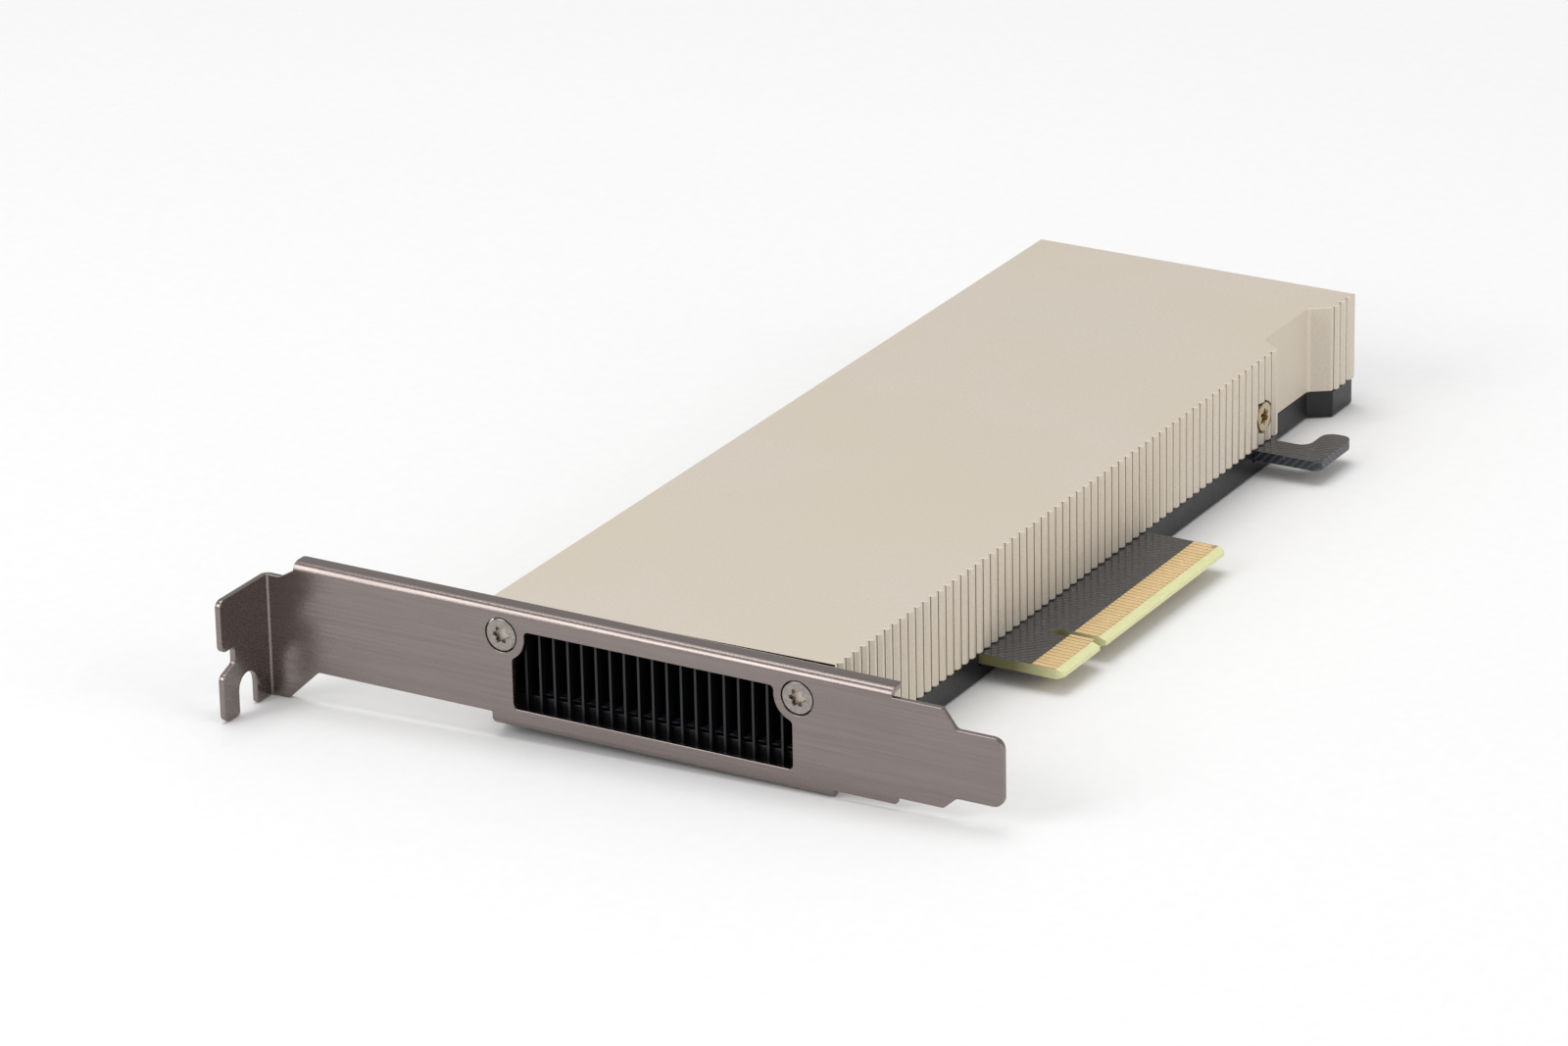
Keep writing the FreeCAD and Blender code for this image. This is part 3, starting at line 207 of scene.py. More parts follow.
def mitres(loop: np.ndarray) -> np.ndarray:
    """Directions in which a loop's points move when it is inset by 1.

    Each one is the sum of the two edges' left normals over 1 plus their dot product, so that both edges
    move by the same distance.

    Args:
        loop: a counter-clockwise outline, or a clockwise hole.

    Returns:
        One direction for each point.
    """
    edge = np.roll(loop, -1, axis=0) - loop
    edge /= np.linalg.norm(edge, axis=1, keepdims=True)
    normal = np.stack([-edge[:, 1], edge[:, 0]], axis=1)
    before = np.roll(normal, 1, axis=0)
    return (normal + before) / (1 + (normal * before).sum(axis=1, keepdims=True))


def inside(points: np.ndarray, loops: Sequence[np.ndarray]) -> np.ndarray:
    """Whether points lie in the material: a ray from each one crosses the loops an odd number of times.

    Args:
        points: rows of across and up.
        loops: the outline and the holes.

    Returns:
        True or False for each point.
    """
    crossings = np.zeros(len(points), int)
    for loop in loops:
        start, end = loop[None], np.roll(loop, -1, axis=0)[None]
        across, up = points[:, None, 0], points[:, None, 1]
        rise = np.where(end[..., 1] == start[..., 1], 1.0, end[..., 1] - start[..., 1])
        meets = start[..., 0] + (end[..., 0] - start[..., 0]) * (up - start[..., 1]) / rise
        crossings += (((start[..., 1] > up) != (end[..., 1] > up)) & (across < meets)).sum(axis=1)
    return crossings % 2 == 1


@dataclass
class Blank:
    """A piece cut from sheet, with its edges broken.

    Attributes:
        loops: the outline, counter-clockwise, then the holes, clockwise.
        thickness: from the near face to the far face.
        near: radius of the near face's edges.
        far: radius of the far face's edges.
        creases: pairs of points that the triangles follow, such as the lines of a bend.
    """

    loops: list[np.ndarray]
    thickness: float
    near: float = 0.1
    far: float = 0.1
    creases: list[tuple[tuple[float, float], tuple[float, float]]] = field(default_factory=list)

    def edge_profile(self) -> tuple[np.ndarray, np.ndarray]:
        """The edge from the near face to the far one: a quarter circle, a wall and a quarter circle.

        Returns:
            Inset and depth of each ring.
        """
        turn = np.linspace(0, QUARTER, EDGE_STEPS)
        near = turn if self.near else turn[-1:]
        far = turn[::-1] if self.far else turn[-1:]
        shift = np.concatenate([self.near * (1 - np.sin(near)), self.far * (1 - np.sin(far))])
        depth = np.concatenate([self.near * (1 - np.cos(near)), self.thickness - self.far * (1 - np.cos(far))])
        return shift, depth

    def face(self, radius: float) -> tuple[np.ndarray, np.ndarray]:
        """Triangles of a flat face.

        Args:
            radius: the inset of its edges.

        Returns:
            The points, and three indices for each triangle.
        """
        loops = [loop + mitres(loop) * radius for loop in self.loops]
        starts = np.cumsum([0] + [len(loop) for loop in loops])
        edges = [(start + i, start + (i + 1) % len(loop)) for start, loop in zip(starts, loops)
                 for i in range(len(loop))]
        ends = [point for crease in self.creases for point in crease]
        edges += [(starts[-1] + i, starts[-1] + i + 1) for i in range(0, len(ends), 2)]
        points = [Vector(point) for point in np.concatenate(loops).tolist() + [list(end) for end in ends]]
        made = delaunay_2d_cdt(points, edges, [], WHOLE_HULL, WELD / 10)
        flat = np.array([tuple(point) for point in made[0]])
        triangles = np.array(made[2])
        return flat, triangles[inside(flat[triangles].mean(axis=1), loops)]

    def patches(self, place: Place) -> list[Patch]:
        """The whole surface.

        Args:
            place: turns rows of across, up and depth into rows of x, y and z.

        Returns:
            A patch for each loop's edge and one for each face.
        """
        shift, depth = self.edge_profile()
        made = []
        for loop in self.loops:
            ring = loop[None] + mitres(loop)[None] * shift[:, None, None]
            rows = np.concatenate([ring, np.broadcast_to(depth[:, None, None], (*ring.shape[:2], 1))], axis=2)
            made.append(grid_patch(place(rows.reshape(-1, 3)).reshape(rows.shape), closed=True))
        for radius, level in ((self.near, 0.0), (self.far, self.thickness)):
            flat, triangles = self.face(radius)
            rows = np.column_stack([flat, np.full(len(flat), level)])
            made.append(Patch(place(rows), triangles))
        return made


def level_place(top: float) -> Place:
    """Places a blank that lies flat: across is x, up is y and depth goes down from top."""
    return lambda rows: np.stack([rows[:, 0], rows[:, 1], top - rows[:, 2]], axis=1)


def make_mesh(name: str, patches: Sequence[Patch]) -> bpy.types.Mesh:
    """One welded mesh from patches, with its normals outwards and without loose points.

    Args:
        name: the mesh's name.
        patches: its parts.

    Returns:
        The mesh, in metres.
    """
    points, faces, start = [], [], 0
    for patch in patches:
        used, index = np.unique(patch.faces, return_inverse=True)
        points.append(patch.points[used] * MM)
        faces += (index.reshape(patch.faces.shape) + start).tolist()
        start += len(used)
    mesh = bpy.data.meshes.new(name)
    mesh.from_pydata(np.concatenate(points).tolist(), [], faces)
    work = bmesh.new()
    work.from_mesh(mesh)
    bmesh.ops.remove_doubles(work, verts=work.verts, dist=WELD * MM)
    bmesh.ops.recalc_face_normals(work, faces=work.faces)
    work.to_mesh(mesh)
    work.free()
    return mesh


def join_meshes(name: str, meshes: Sequence[bpy.types.Mesh]) -> bpy.types.Mesh:
    """Puts closed shells into one mesh without welding them to each other.

    Args:
        name: the new mesh's name.
        meshes: the shells.

    Returns:
        The mesh.
    """
    work = bmesh.new()
    for mesh in meshes:
        work.from_mesh(mesh)
    joined = bpy.data.meshes.new(name)
    work.to_mesh(joined)
    work.free()
    return joined


def read_rows(items: bpy.types.bpy_prop_collection, name: str) -> np.ndarray:
    """One property of all points or all faces of a mesh.

    Args:
        items: the mesh's vertices or polygons.
        name: a property with three parts.

    Returns:
        A row for each item.
    """
    rows = np.empty(3 * len(items), np.float32)
    items.foreach_get(name, rows)
    return rows.reshape(-1, 3).astype(float)


def carve(mesh: bpy.types.Mesh, cutters: Sequence[bpy.types.Mesh]) -> bpy.types.Mesh:
    """Takes closed shapes out of a closed mesh.

    Args:
        mesh: what is cut.
        cutters: what is taken away.

    Returns:
        The cut mesh.
    """
    collection = bpy.context.scene.collection
    item = bpy.data.objects.new("being_cut", mesh)
    collection.objects.link(item)
    helpers = [bpy.data.objects.new(cutter.name, cutter) for cutter in cutters]
    for helper in helpers:
        collection.objects.link(helper)
        modifier = item.modifiers.new(helper.name, "BOOLEAN")
        modifier.operation = "DIFFERENCE"
        modifier.solver = "EXACT"
        modifier.object = helper
    cut = bpy.data.meshes.new_from_object(item.evaluated_get(bpy.context.evaluated_depsgraph_get()))
    for spent in [item, *helpers]:
        bpy.data.objects.remove(spent)
    return cut


def add_piece(name: str, mesh: bpy.types.Mesh, finishes: Sequence["Finish"],
              nodes: Sequence[str]) -> None:
    """Puts a finished mesh into the scene in place of CAD nodes.

    Args:
        name: the piece's name.
        mesh: its mesh, in place.
        finishes: one for each material index of the mesh.
        nodes: the CAD nodes that it stands for.
    """
    for finish in finishes:
        mesh.materials.append(finish.material())
    mesh.polygons.foreach_set("use_smooth", [True] * len(mesh.polygons))
    mesh.set_sharp_from_angle(angle=SMOOTH_ANGLE)
    piece = bpy.data.objects.new(name, mesh)
    bpy.context.scene.collection.objects.link(piece)
    weigh = piece.modifiers.new("flat_faces_stay_flat", "WEIGHTED_NORMAL")
    weigh.keep_sharp = True
    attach(piece, BODY)
    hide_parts(*nodes)
    LOG.info("%s: %d faces, for %s", name, len(mesh.polygons), ", ".join(nodes))


# --- finishes -----------------------------------------------------------------------------------------------


def linear(colour: str) -> tuple[float, float, float, float]:
    """Turns a colour such as #D2C8BC from sRGB to linear.

    Args:
        colour: six hex digits after a hash.

    Returns:
        Red, green, blue and an alpha of 1.
    """
    parts = np.array([int(colour[i:i + 2], 16) for i in (1, 3, 5)]) / 255
    return (*np.where(parts <= 0.04045, parts / 12.92, ((parts + 0.055) / 1.055) ** 2.4).tolist(), 1.0)


def add_node(tree: bpy.types.NodeTree, kind: str, inputs: dict[str | int, object] | None = None,
             **settings: object) -> bpy.types.Node:
    """Adds a node with its settings and its inputs.

    Args:
        tree: where it goes.
        kind: the node's type.
        inputs: socket names or numbers, with a value or another node's output for each.
        settings: properties of the node.

    Returns:
        The node.
    """
    node = tree.nodes.new(kind)
    for key, value in settings.items():
        setattr(node, key, value)
    for key, value in (inputs or {}).items():
        if isinstance(value, bpy.types.NodeSocket):
            tree.links.new(value, node.inputs[key])
        else:
            node.inputs[key].default_value = value
    return node


def per_metre(size_mm: float) -> float:
    """Texture scale that makes one feature as wide as size_mm on Object coordinates, which are metres."""
    return 1 / (size_mm * MM)


# Sockets of a Mix node for colours, which share their names with those for numbers.
SHARE, FROM, TO, MIXED = 0, 6, 7, 2
# Nearly all of a noise's values lie in this span.
NOISE_SPAN = {"From Min": 0.3, "From Max": 0.7}
# How far the grain moves the roughness either way.
ROUGHNESS_SWING = 0.05


@dataclass(frozen=True)
class Ground:
    """What a material's patterns are drawn on.

    Attributes:
        tree: the material's nodes.
        place: Object coordinates.
        grain: the grain's noise.
    """

    tree: bpy.types.NodeTree
    place: bpy.types.NodeSocket
    grain: bpy.types.NodeSocket


@dataclass(frozen=True)
class Finish:
    """What a material is and how its surface was made.

    Attributes:
        name: the material's name.
        colour: main colour, sRGB.
        second: colour that the grain goes to, sRGB.
        grain: width of the grain's features in millimetres.
        metallic: 1 for bare metal, 0 for paint, plastic and laminate.
        roughness: middle of the surface's roughness.
        relief: height of the grain in millimetres.
        squeeze: how much the grain is pressed together along x, y and z. A number below 1 stretches it.
    """

    name: str
    colour: str
    second: str
    grain: float = 0.4
    metallic: float = 0.0
    roughness: float = 0.5
    relief: float = 0.004
    squeeze: tuple[float, float, float] = (1.0, 1.0, 1.0)

    def material(self) -> bpy.types.Material:
        """The material, made once and then shared.

        Returns:
            The material.
        """
        known = bpy.data.materials.get(self.name)
        if known:
            return known
        material = bpy.data.materials.new(self.name)
        material.use_nodes = True
        tree = material.node_tree
        tree.nodes.clear()
        add_node(tree, "ShaderNodeOutputMaterial", {"Surface": self.shader(tree).outputs[0]})
        return material

    def base_colour(self, ground: Ground) -> bpy.types.NodeSocket:
        """The colour, going to the second one with the grain.

        Args:
            ground: what it is drawn on.

        Returns:
            The colour's socket.
        """
        share = add_node(ground.tree, "ShaderNodeMapRange", {"Value": ground.grain, **NOISE_SPAN})
        return add_node(ground.tree, "ShaderNodeMix", {
            SHARE: share.outputs[0], FROM: linear(self.colour), TO: linear(self.second),
        }, data_type="RGBA").outputs[MIXED]

    def height(self, ground: Ground) -> bpy.types.NodeSocket:
        """What the relief follows: the grain, unless a finish has a texture of its own."""
        return ground.grain

    def shader(self, tree: bpy.types.NodeTree) -> bpy.types.Node:
        """The shader, with the grain in its colour, its roughness and its relief.

        Args:
            tree: the material's nodes.

        Returns:
            The shader's node.
        """
        place = add_node(tree, "ShaderNodeTexCoord").outputs["Object"]
        drawn = add_node(tree, "ShaderNodeMapping", {"Vector": place, "Scale": self.squeeze})
        noise = add_node(tree, "ShaderNodeTexNoise", {
            "Vector": drawn.outputs[0], "Scale": per_metre(self.grain), "Detail": 3.0})
        ground = Ground(tree, place, noise.outputs["Fac"])
        bump = add_node(tree, "ShaderNodeBump", {
            "Height": self.height(ground), "Distance": self.relief * MM, "Strength": 1.0})
        roughness = add_node(tree, "ShaderNodeMapRange", {
            "Value": ground.grain, **NOISE_SPAN,
            "To Min": self.roughness - ROUGHNESS_SWING, "To Max": self.roughness + ROUGHNESS_SWING})
        return add_node(tree, "ShaderNodeBsdfPrincipled", {
            "Base Color": self.base_colour(ground), "Metallic": self.metallic,
            "Roughness": roughness.outputs[0], "Normal": bump.outputs[0]})


@dataclass(frozen=True)
class CloudedMetal(Finish):
    """Metal with slow clouds of another tint, which the anodising or plating bath leaves.

    Attributes:
        cloud: the clouds' colour, sRGB.
        cloud_size: their width in millimetres.
        cloud_detail: how ragged they are.
        cloud_share: how much of their colour shows at most.
    """

    cloud: str = "#D3C8B3"
    cloud_size: float = 28.0
    cloud_detail: float = 1.0
    cloud_share: float = 0.5

    def base_colour(self, ground: Ground) -> bpy.types.NodeSocket:
        """The grained colour, going to the clouds' colour with a slow noise.

        Args:
            ground: what it is drawn on.

        Returns:
            The colour's socket.
        """
        fine = super().base_colour(ground)
        slow = add_node(ground.tree, "ShaderNodeTexNoise", {
            "Vector": ground.place, "Scale": per_metre(self.cloud_size), "Detail": self.cloud_detail})
        share = add_node(ground.tree, "ShaderNodeMapRange", {
            "Value": slow.outputs["Fac"], **NOISE_SPAN, "To Max": self.cloud_share})
        return add_node(ground.tree, "ShaderNodeMix", {
            SHARE: share.outputs[0], FROM: fine, TO: linear(self.cloud),
        }, data_type="RGBA").outputs[MIXED]


@dataclass(frozen=True)
class BrushedNickel(CloudedMetal):
    """Steel sheet, brushed along its length and nickel plated.

    Attributes:
        peel_size: width in millimetres of the fine peel that makes the highlights along the bends grainy.
        squeeze: the streaks run along y and are sixty times as long as they are wide.
    """

    peel_size: float = 0.5
    squeeze: tuple[float, float, float] = (1.0, 1 / 60, 1.0)

    def height(self, ground: Ground) -> bpy.types.NodeSocket:
        """What the relief follows: the peel.

        Args:
            ground: what it is drawn on.

        Returns:
            The height's socket.
        """
        return add_node(ground.tree, "ShaderNodeTexNoise", {
            "Vector": ground.place, "Scale": per_metre(self.peel_size)}).outputs["Fac"]


@dataclass(frozen=True)
class PaintedHighlightFins(Finish):
    """Fins that are dyed black, with a painted highlight in a thin grey line at each end.

    Attributes:
        edge_highlight: colour of the painted highlight at the ends, sRGB.
        ends: places of the ends along the card in millimetres.
        reach: how far the painted highlight reaches from an end.
    """

    edge_highlight: str = "#27292C"
    ends: tuple[float, ...] = ()
    reach: float = 0.08

    def base_colour(self, ground: Ground) -> bpy.types.NodeSocket:
        """The painted highlight wherever x lies within reach of an end, and the dyed colour elsewhere.

        Args:
            ground: what it is drawn on.

        Returns:
            The colour's socket.
        """
        mixed = super().base_colour(ground)
        split = add_node(ground.tree, "ShaderNodeSeparateXYZ", {0: ground.place})
        for end in self.ends:
            at_end = add_node(ground.tree, "ShaderNodeMath", {
                0: split.outputs["X"], 1: end * MM, 2: self.reach * MM}, operation="COMPARE")
            mixed = add_node(ground.tree, "ShaderNodeMix", {
                SHARE: at_end.outputs[0], FROM: mixed, TO: linear(self.edge_highlight),
            }, data_type="RGBA").outputs[MIXED]
        return mixed


@dataclass(frozen=True)
class RoutedLaminate(Finish):
    """Cut edges of glass-fibre laminate, pale on the bevel and darker further in, where the colour is painted
    shade.

    Attributes:
        rubbed: colour of the painted shade further in, sRGB.
        pale_end: how far from the leading edge the pale colour reaches, in millimetres.
        rubbed_start: from where on the painted shade is whole.
    """

    rubbed: str = "#6B6A45"
    pale_end: float = 1.0
    rubbed_start: float = 8.0

    def base_colour(self, ground: Ground) -> bpy.types.NodeSocket:
        """The pale colour, going to the painted shade with y, the distance from the leading edge.

        Args:
            ground: what it is drawn on.

        Returns:
            The colour's socket.
        """
        pale = super().base_colour(ground)
        split = add_node(ground.tree, "ShaderNodeSeparateXYZ", {0: ground.place})
        share = add_node(ground.tree, "ShaderNodeMapRange", {
            "Value": split.outputs["Y"], "From Min": self.pale_end * MM, "From Max": self.rubbed_start * MM})
        return add_node(ground.tree, "ShaderNodeMix", {
            SHARE: share.outputs[0], FROM: pale, TO: linear(self.rubbed),
        }, data_type="RGBA").outputs[MIXED]


@dataclass(frozen=True)
class SolderMask(Finish):
    """Ink printed over copper, a little lighter over the traces and vias below it.

    The board's traces are about 0.3 mm apart, too fine for the render, so they are drawn 0.9 mm apart.

    Attributes:
        trace: colour over the copper, sRGB.
        trace_pitch: distance between traces in millimetres.
        trace_edge: values of the band pattern between which a trace rises.
        trace_share: how much of the trace's colour shows.
        via_pitch: distance between vias.
        via_edge: distances from a via's middle, in pitches, between which it falls.
        between_contacts_shade: colour of the bare laminate between the contacts, darkened with painted shade, sRGB.
        tongue_end: where the contacts' strip ends along the card.
        contact_end: where the strip ends across the card.
    """

    trace: str = "#4A4E57"
    trace_pitch: float = 0.9
    trace_edge: tuple[float, float] = (0.6, 0.9)
    trace_share: float = 0.7
    via_pitch: float = 2.4
    via_edge: tuple[float, float] = (0.08, 0.14)
    between_contacts_shade: str = "#A9875A"
    tongue_end: float = 40.0
    contact_end: float = 5.25

    def printed(self, ground: Ground) -> bpy.types.NodeSocket:
        """How much a place is raised by the copper: bands for the traces and dots for the vias.

        A diagonal band pattern repeats every 2 pi over 10 times its scale along x plus y, which is the
        square root of 2 times the pitch between the traces.

        Args:
            ground: what it is drawn on.

        Returns:
            The share's socket.
        """
        lines = add_node(ground.tree, "ShaderNodeTexWave", {
            "Vector": ground.place, "Scale": per_metre(self.trace_pitch) * math.sqrt(2) * math.pi / 10,
            "Distortion": 3.0, "Detail": 0.0, "Detail Scale": 0.1,
        }, wave_type="BANDS", bands_direction="DIAGONAL")
        thin = add_node(ground.tree, "ShaderNodeMapRange", {
            "Value": lines.outputs["Fac"], "From Min": self.trace_edge[0], "From Max": self.trace_edge[1],
            "To Max": self.trace_share})
        vias = add_node(ground.tree, "ShaderNodeTexVoronoi", {
            "Vector": ground.place, "Scale": per_metre(self.via_pitch), "Randomness": 0.6}, feature="F1")
        dots = add_node(ground.tree, "ShaderNodeMapRange", {
            "Value": vias.outputs["Distance"], "From Min": self.via_edge[0], "From Max": self.via_edge[1],
            "To Min": 1.0, "To Max": 0.0})
        return add_node(ground.tree, "ShaderNodeMath", {0: thin.outputs[0], 1: dots.outputs[0]},
                        operation="MAXIMUM").outputs[0]

    def base_colour(self, ground: Ground) -> bpy.types.NodeSocket:
        """Ink over the traces, and none between the contacts, where the bare laminate is darkened with painted
        shade.

        Args:
            ground: what it is drawn on.

        Returns:
            The colour's socket.
        """
        raised = add_node(ground.tree, "ShaderNodeMix", {
            SHARE: self.printed(ground), FROM: super().base_colour(ground), TO: linear(self.trace),
        }, data_type="RGBA")
        split = add_node(ground.tree, "ShaderNodeSeparateXYZ", {0: ground.place})
        before = [add_node(ground.tree, "ShaderNodeMath", {0: split.outputs[axis], 1: end * MM},
                           operation="LESS_THAN")
                  for axis, end in (("X", self.tongue_end), ("Y", self.contact_end))]
        bare = add_node(ground.tree, "ShaderNodeMath", {0: before[0].outputs[0], 1: before[1].outputs[0]},
                        operation="MULTIPLY")
        return add_node(ground.tree, "ShaderNodeMix", {
            SHARE: bare.outputs[0], FROM: raised.outputs[MIXED], TO: linear(self.between_contacts_shade),
        }, data_type="RGBA").outputs[MIXED]


# Bead-blasted and anodised cover: warm, silky metal with a fine sparkle and slow drifts of tint. The blasting's
# pits are about 0.05 mm, too fine for the render, so the grain is drawn 0.35 mm wide.
CHAMPAGNE = CloudedMetal("champagne_anodised_aluminium", "#D7CDC2", "#CFC5B8", grain=0.35, metallic=0.5,
                         roughness=0.55, relief=0.006)
# The same metal with painted shade on the slopes of the nick at each rib's foot: a thin brown line.
NICK_PAINTED_SHADE = CloudedMetal("painted_shade_nick_aluminium", "#87735A", "#7A674E", cloud="#7E7161", metallic=0.4,
                         roughness=0.6)
# The bracket's sheet: warm grey metal with fine streaks, dull clouds and grainy highlights. The brush's lines are
# about 0.1 mm apart, too fine for the render, so they are drawn 0.3 mm wide.
NICKEL_SHEET = BrushedNickel("brushed_nickel_plated_steel", "#8F8581", "#857B78", grain=0.3, metallic=1.0,
                             roughness=0.26, relief=0.012, cloud="#857B78", cloud_size=14.0, cloud_detail=2.0)
# Cold-headed and nickel-plated bracket screws: smooth metal, a little brighter than the bracket.
NICKEL_SCREW = Finish("nickel_plated_screw_steel", "#A39B96", "#8F8782", grain=0.5, metallic=1.0,
                      roughness=0.24, relief=0.001)
# Yellow-passivated screws in the cover's sides: smooth metal with a brassy tint.
YELLOW_SCREW = Finish("yellow_passivated_screw_steel", "#C2AF90", "#AF9C7E", grain=0.5, metallic=1.0,
                      roughness=0.26, relief=0.001)
# Black-oxided screws: dark metal that still shines.
BLACK_OXIDE = Finish("black_oxide_screw_steel", "#2B2B2D", "#202022", metallic=0.9, roughness=0.35, relief=0.001)
# The powder-coated tray: satin black with an orange peel about 0.6 mm wide.
BLACK_POWDER = Finish("satin_black_powder_coat", "#121316", "#0D0E10", grain=0.6, roughness=0.34, relief=0.012)
# The board's ink: dark, bluish and glossy.
SOLDER_MASK = SolderMask("dark_solder_mask", "#212328", "#282A30", grain=0.9, roughness=0.17, relief=0.001)
# The board's cut edges: yellow-green resin with the ends of the glass weave, about 0.45 mm apart, and painted shade
# that darkens them away from the leading edge.
LAMINATE = RoutedLaminate("routed_glass_fibre_laminate", "#DEDDAE", "#D0CF96", grain=0.45, roughness=0.45,
                          relief=0.002)
# The contacts' plating: bright and slightly warm, with a faint haze.
HARD_GOLD = Finish("hard_gold_plating", "#FFE7B6", "#FDE2AC", grain=4.0, metallic=0.8, roughness=0.3, relief=0.0)
# Uncoated paper under the card: matt and even.
PAPER = Finish("matt_white_paper", "#ECECEC", "#EAEAEA", grain=2.0, roughness=0.9, relief=0.0)
FIN_START, FIN_END = (corner[0] for corner in node_box("heatsink"))
# The toes at the fins' front ends, along the card.
TOE_LENGTH = 0.75
# Skived and dyed fins: black faces, with a painted highlight in thin grey lines at their ends.
BLACK_FINS = PaintedHighlightFins("skived_black_anodised_aluminium", "#0A0B0C", "#070708", grain=0.3, metallic=0.3,
                             roughness=0.45, relief=0.002, ends=(FIN_START, FIN_START + TOE_LENGTH, FIN_END))

# What the cover hides. A grain finer than 0.3 mm is drawn at least 0.3 mm wide, because less wouldn't show.
INNER_FINISHES = {
    "heatsink": BLACK_FINS,
    "retention_screws": BLACK_OXIDE,
    # A dull grey film with the ridges of the spreader.
    "thermal_paste": Finish("spread_silicone_thermal_paste", "#B9B9B6", "#A8A8A6", grain=0.5, roughness=0.6),
    # Green and half glossy, with the cloudiness of filled resin.
    "processor_substrate": Finish("laminated_resin_package_substrate", "#2F6B45", "#285C3B", roughness=0.4),
    # A dark mirror.
    "processor_die": Finish("polished_silicon", "#6C7178", "#61666D", grain=0.8, roughness=0.12),
    # Matt black with the fine sand of the filler.
    "memory_chips": Finish("moulded_epoxy_package", "#2A2A2C", "#232325", grain=0.3, roughness=0.55),
    # Matt grey-blue rubber.
    "memory_pads": Finish("cast_silicone_gap_pad", "#8E99A6", "#818C99", grain=0.5, roughness=0.7),
    # Dark grey and grainy, like pressed powder.
    "power_inductors": Finish("pressed_ferrite_powder", "#55565A", "#46474B", grain=0.35, roughness=0.65),
    # Smooth amber plastic.
    "polymer_capacitors": Finish("moulded_tantalum_polymer_case", "#C79A3C", "#B88C33", roughness=0.4),
    # Speckled brown ceramic.
    "ceramic_capacitors": Finish("fired_barium_titanate", "#A58A66", "#957A58", grain=0.3, roughness=0.4),
    # Bright drawn metal.
    "clock_oscillator": Finish("drawn_steel_crystal_can", "#C2C2C4", "#B2B2B4", metallic=1.0, roughness=0.3),
    # Black film with a soft gloss.
    "insulator_sheet": Finish("rolled_polyester_film", "#26272A", "#202124", grain=0.8, roughness=0.25),
    # Cool grey metal with faint spangle.
    "retention_plate": Finish("zinc_plated_spring_steel", "#A9ABAF", "#9A9CA0", grain=0.5, metallic=1.0,
                              roughness=0.35),
}
SAME_FINISH = {
    "memory_chips_back": "memory_chips", "power_stages": "memory_chips", "power_controller": "memory_chips",
    "flash_chip": "memory_chips", "memory_pads_back": "memory_pads", "power_stage_pads": "memory_pads",
}


# --- the card's pieces --------------------------------------------------------------------------------------


class Turn(Enum):
    """Ways a screw can point: the direction from its head's face to its tip, then the two across it."""

    INTO_CARD = ((1, 0, 0), (0, 1, 0), (0, 0, 1))
    UP_CARD = ((0, 1, 0), (0, 0, 1), (1, 0, 0))
    DOWN_CARD = ((0, -1, 0), (1, 0, 0), (0, 0, 1))
    THROUGH_CARD = ((0, 0, 1), (1, 0, 0), (0, 1, 0))


def turned(centre: Sequence[float], turn: Turn, stations: Sequence[tuple[float, float, float]],
           steps: int) -> Patch:
    """A turned surface, such as a screw, a boss or a bore.

    At angle t a ring stands off the axis by its radius plus its lobe times the cosine of 6 t.

    Args:
        centre: where the axis starts.
        turn: where the axis points.
        stations: radius, lobe and depth of each ring.
        steps: points on each ring.

    Returns:
        The closed surface.
    """
    down, first, second = (np.array(way, float) for way in turn.value)
    radius, lobe, depth = np.array(stations, float).T[:, :, None, None]
    angle = np.linspace(0, FULL_TURN, steps, endpoint=False)[None, :, None]
    ring = first * np.cos(angle) + second * np.sin(angle)
    return grid_patch(np.array(centre) + down * depth + ring * (radius + lobe * np.cos(6 * angle)), closed=True)


@dataclass
class Hollow:
    """The hollow in the card's connector side, near the rear end."""

    before_rear: float = 6.75
    length: float = 20.3
    front_run: float = 2.8
    rear_run: float = 2.4
    depth: float = 3.65

    def __post_init__(self) -> None:
        """Takes the hollow's place from the frame: where its two slopes meet the connector side."""
        self.low = node_box("cover")[0][1]
        self.rear = node_box("back_tray")[1][0] - self.before_rear
        self.front = self.rear - self.length

    def corners(self, side: float, inset: float, radius: float) -> list[tuple[float, float, float]]:
        """The four corners of an outline that keeps clear of the hollow.

        Each slope moves away by inset, so along the card by inset times the slope's length over its rise.

        Args:
            side: where the outline runs along the side.
            inset: clearance from the hollow's faces.
            radius: of the corners.

        Returns:
            Corners from front to rear.
        """
        front_slope, rear_slope = self.front_run / self.depth, self.rear_run / self.depth
        front = self.front - inset * math.hypot(1, front_slope)
        rear = self.rear + inset * math.hypot(1, rear_slope)
        start, floor = side - self.low, self.depth + inset
        return [
            (front + start * front_slope, side, radius),
            (front + floor * front_slope, self.low + floor, radius),
            (rear - floor * rear_slope, self.low + floor, radius),
            (rear - start * rear_slope, side, radius),
        ]


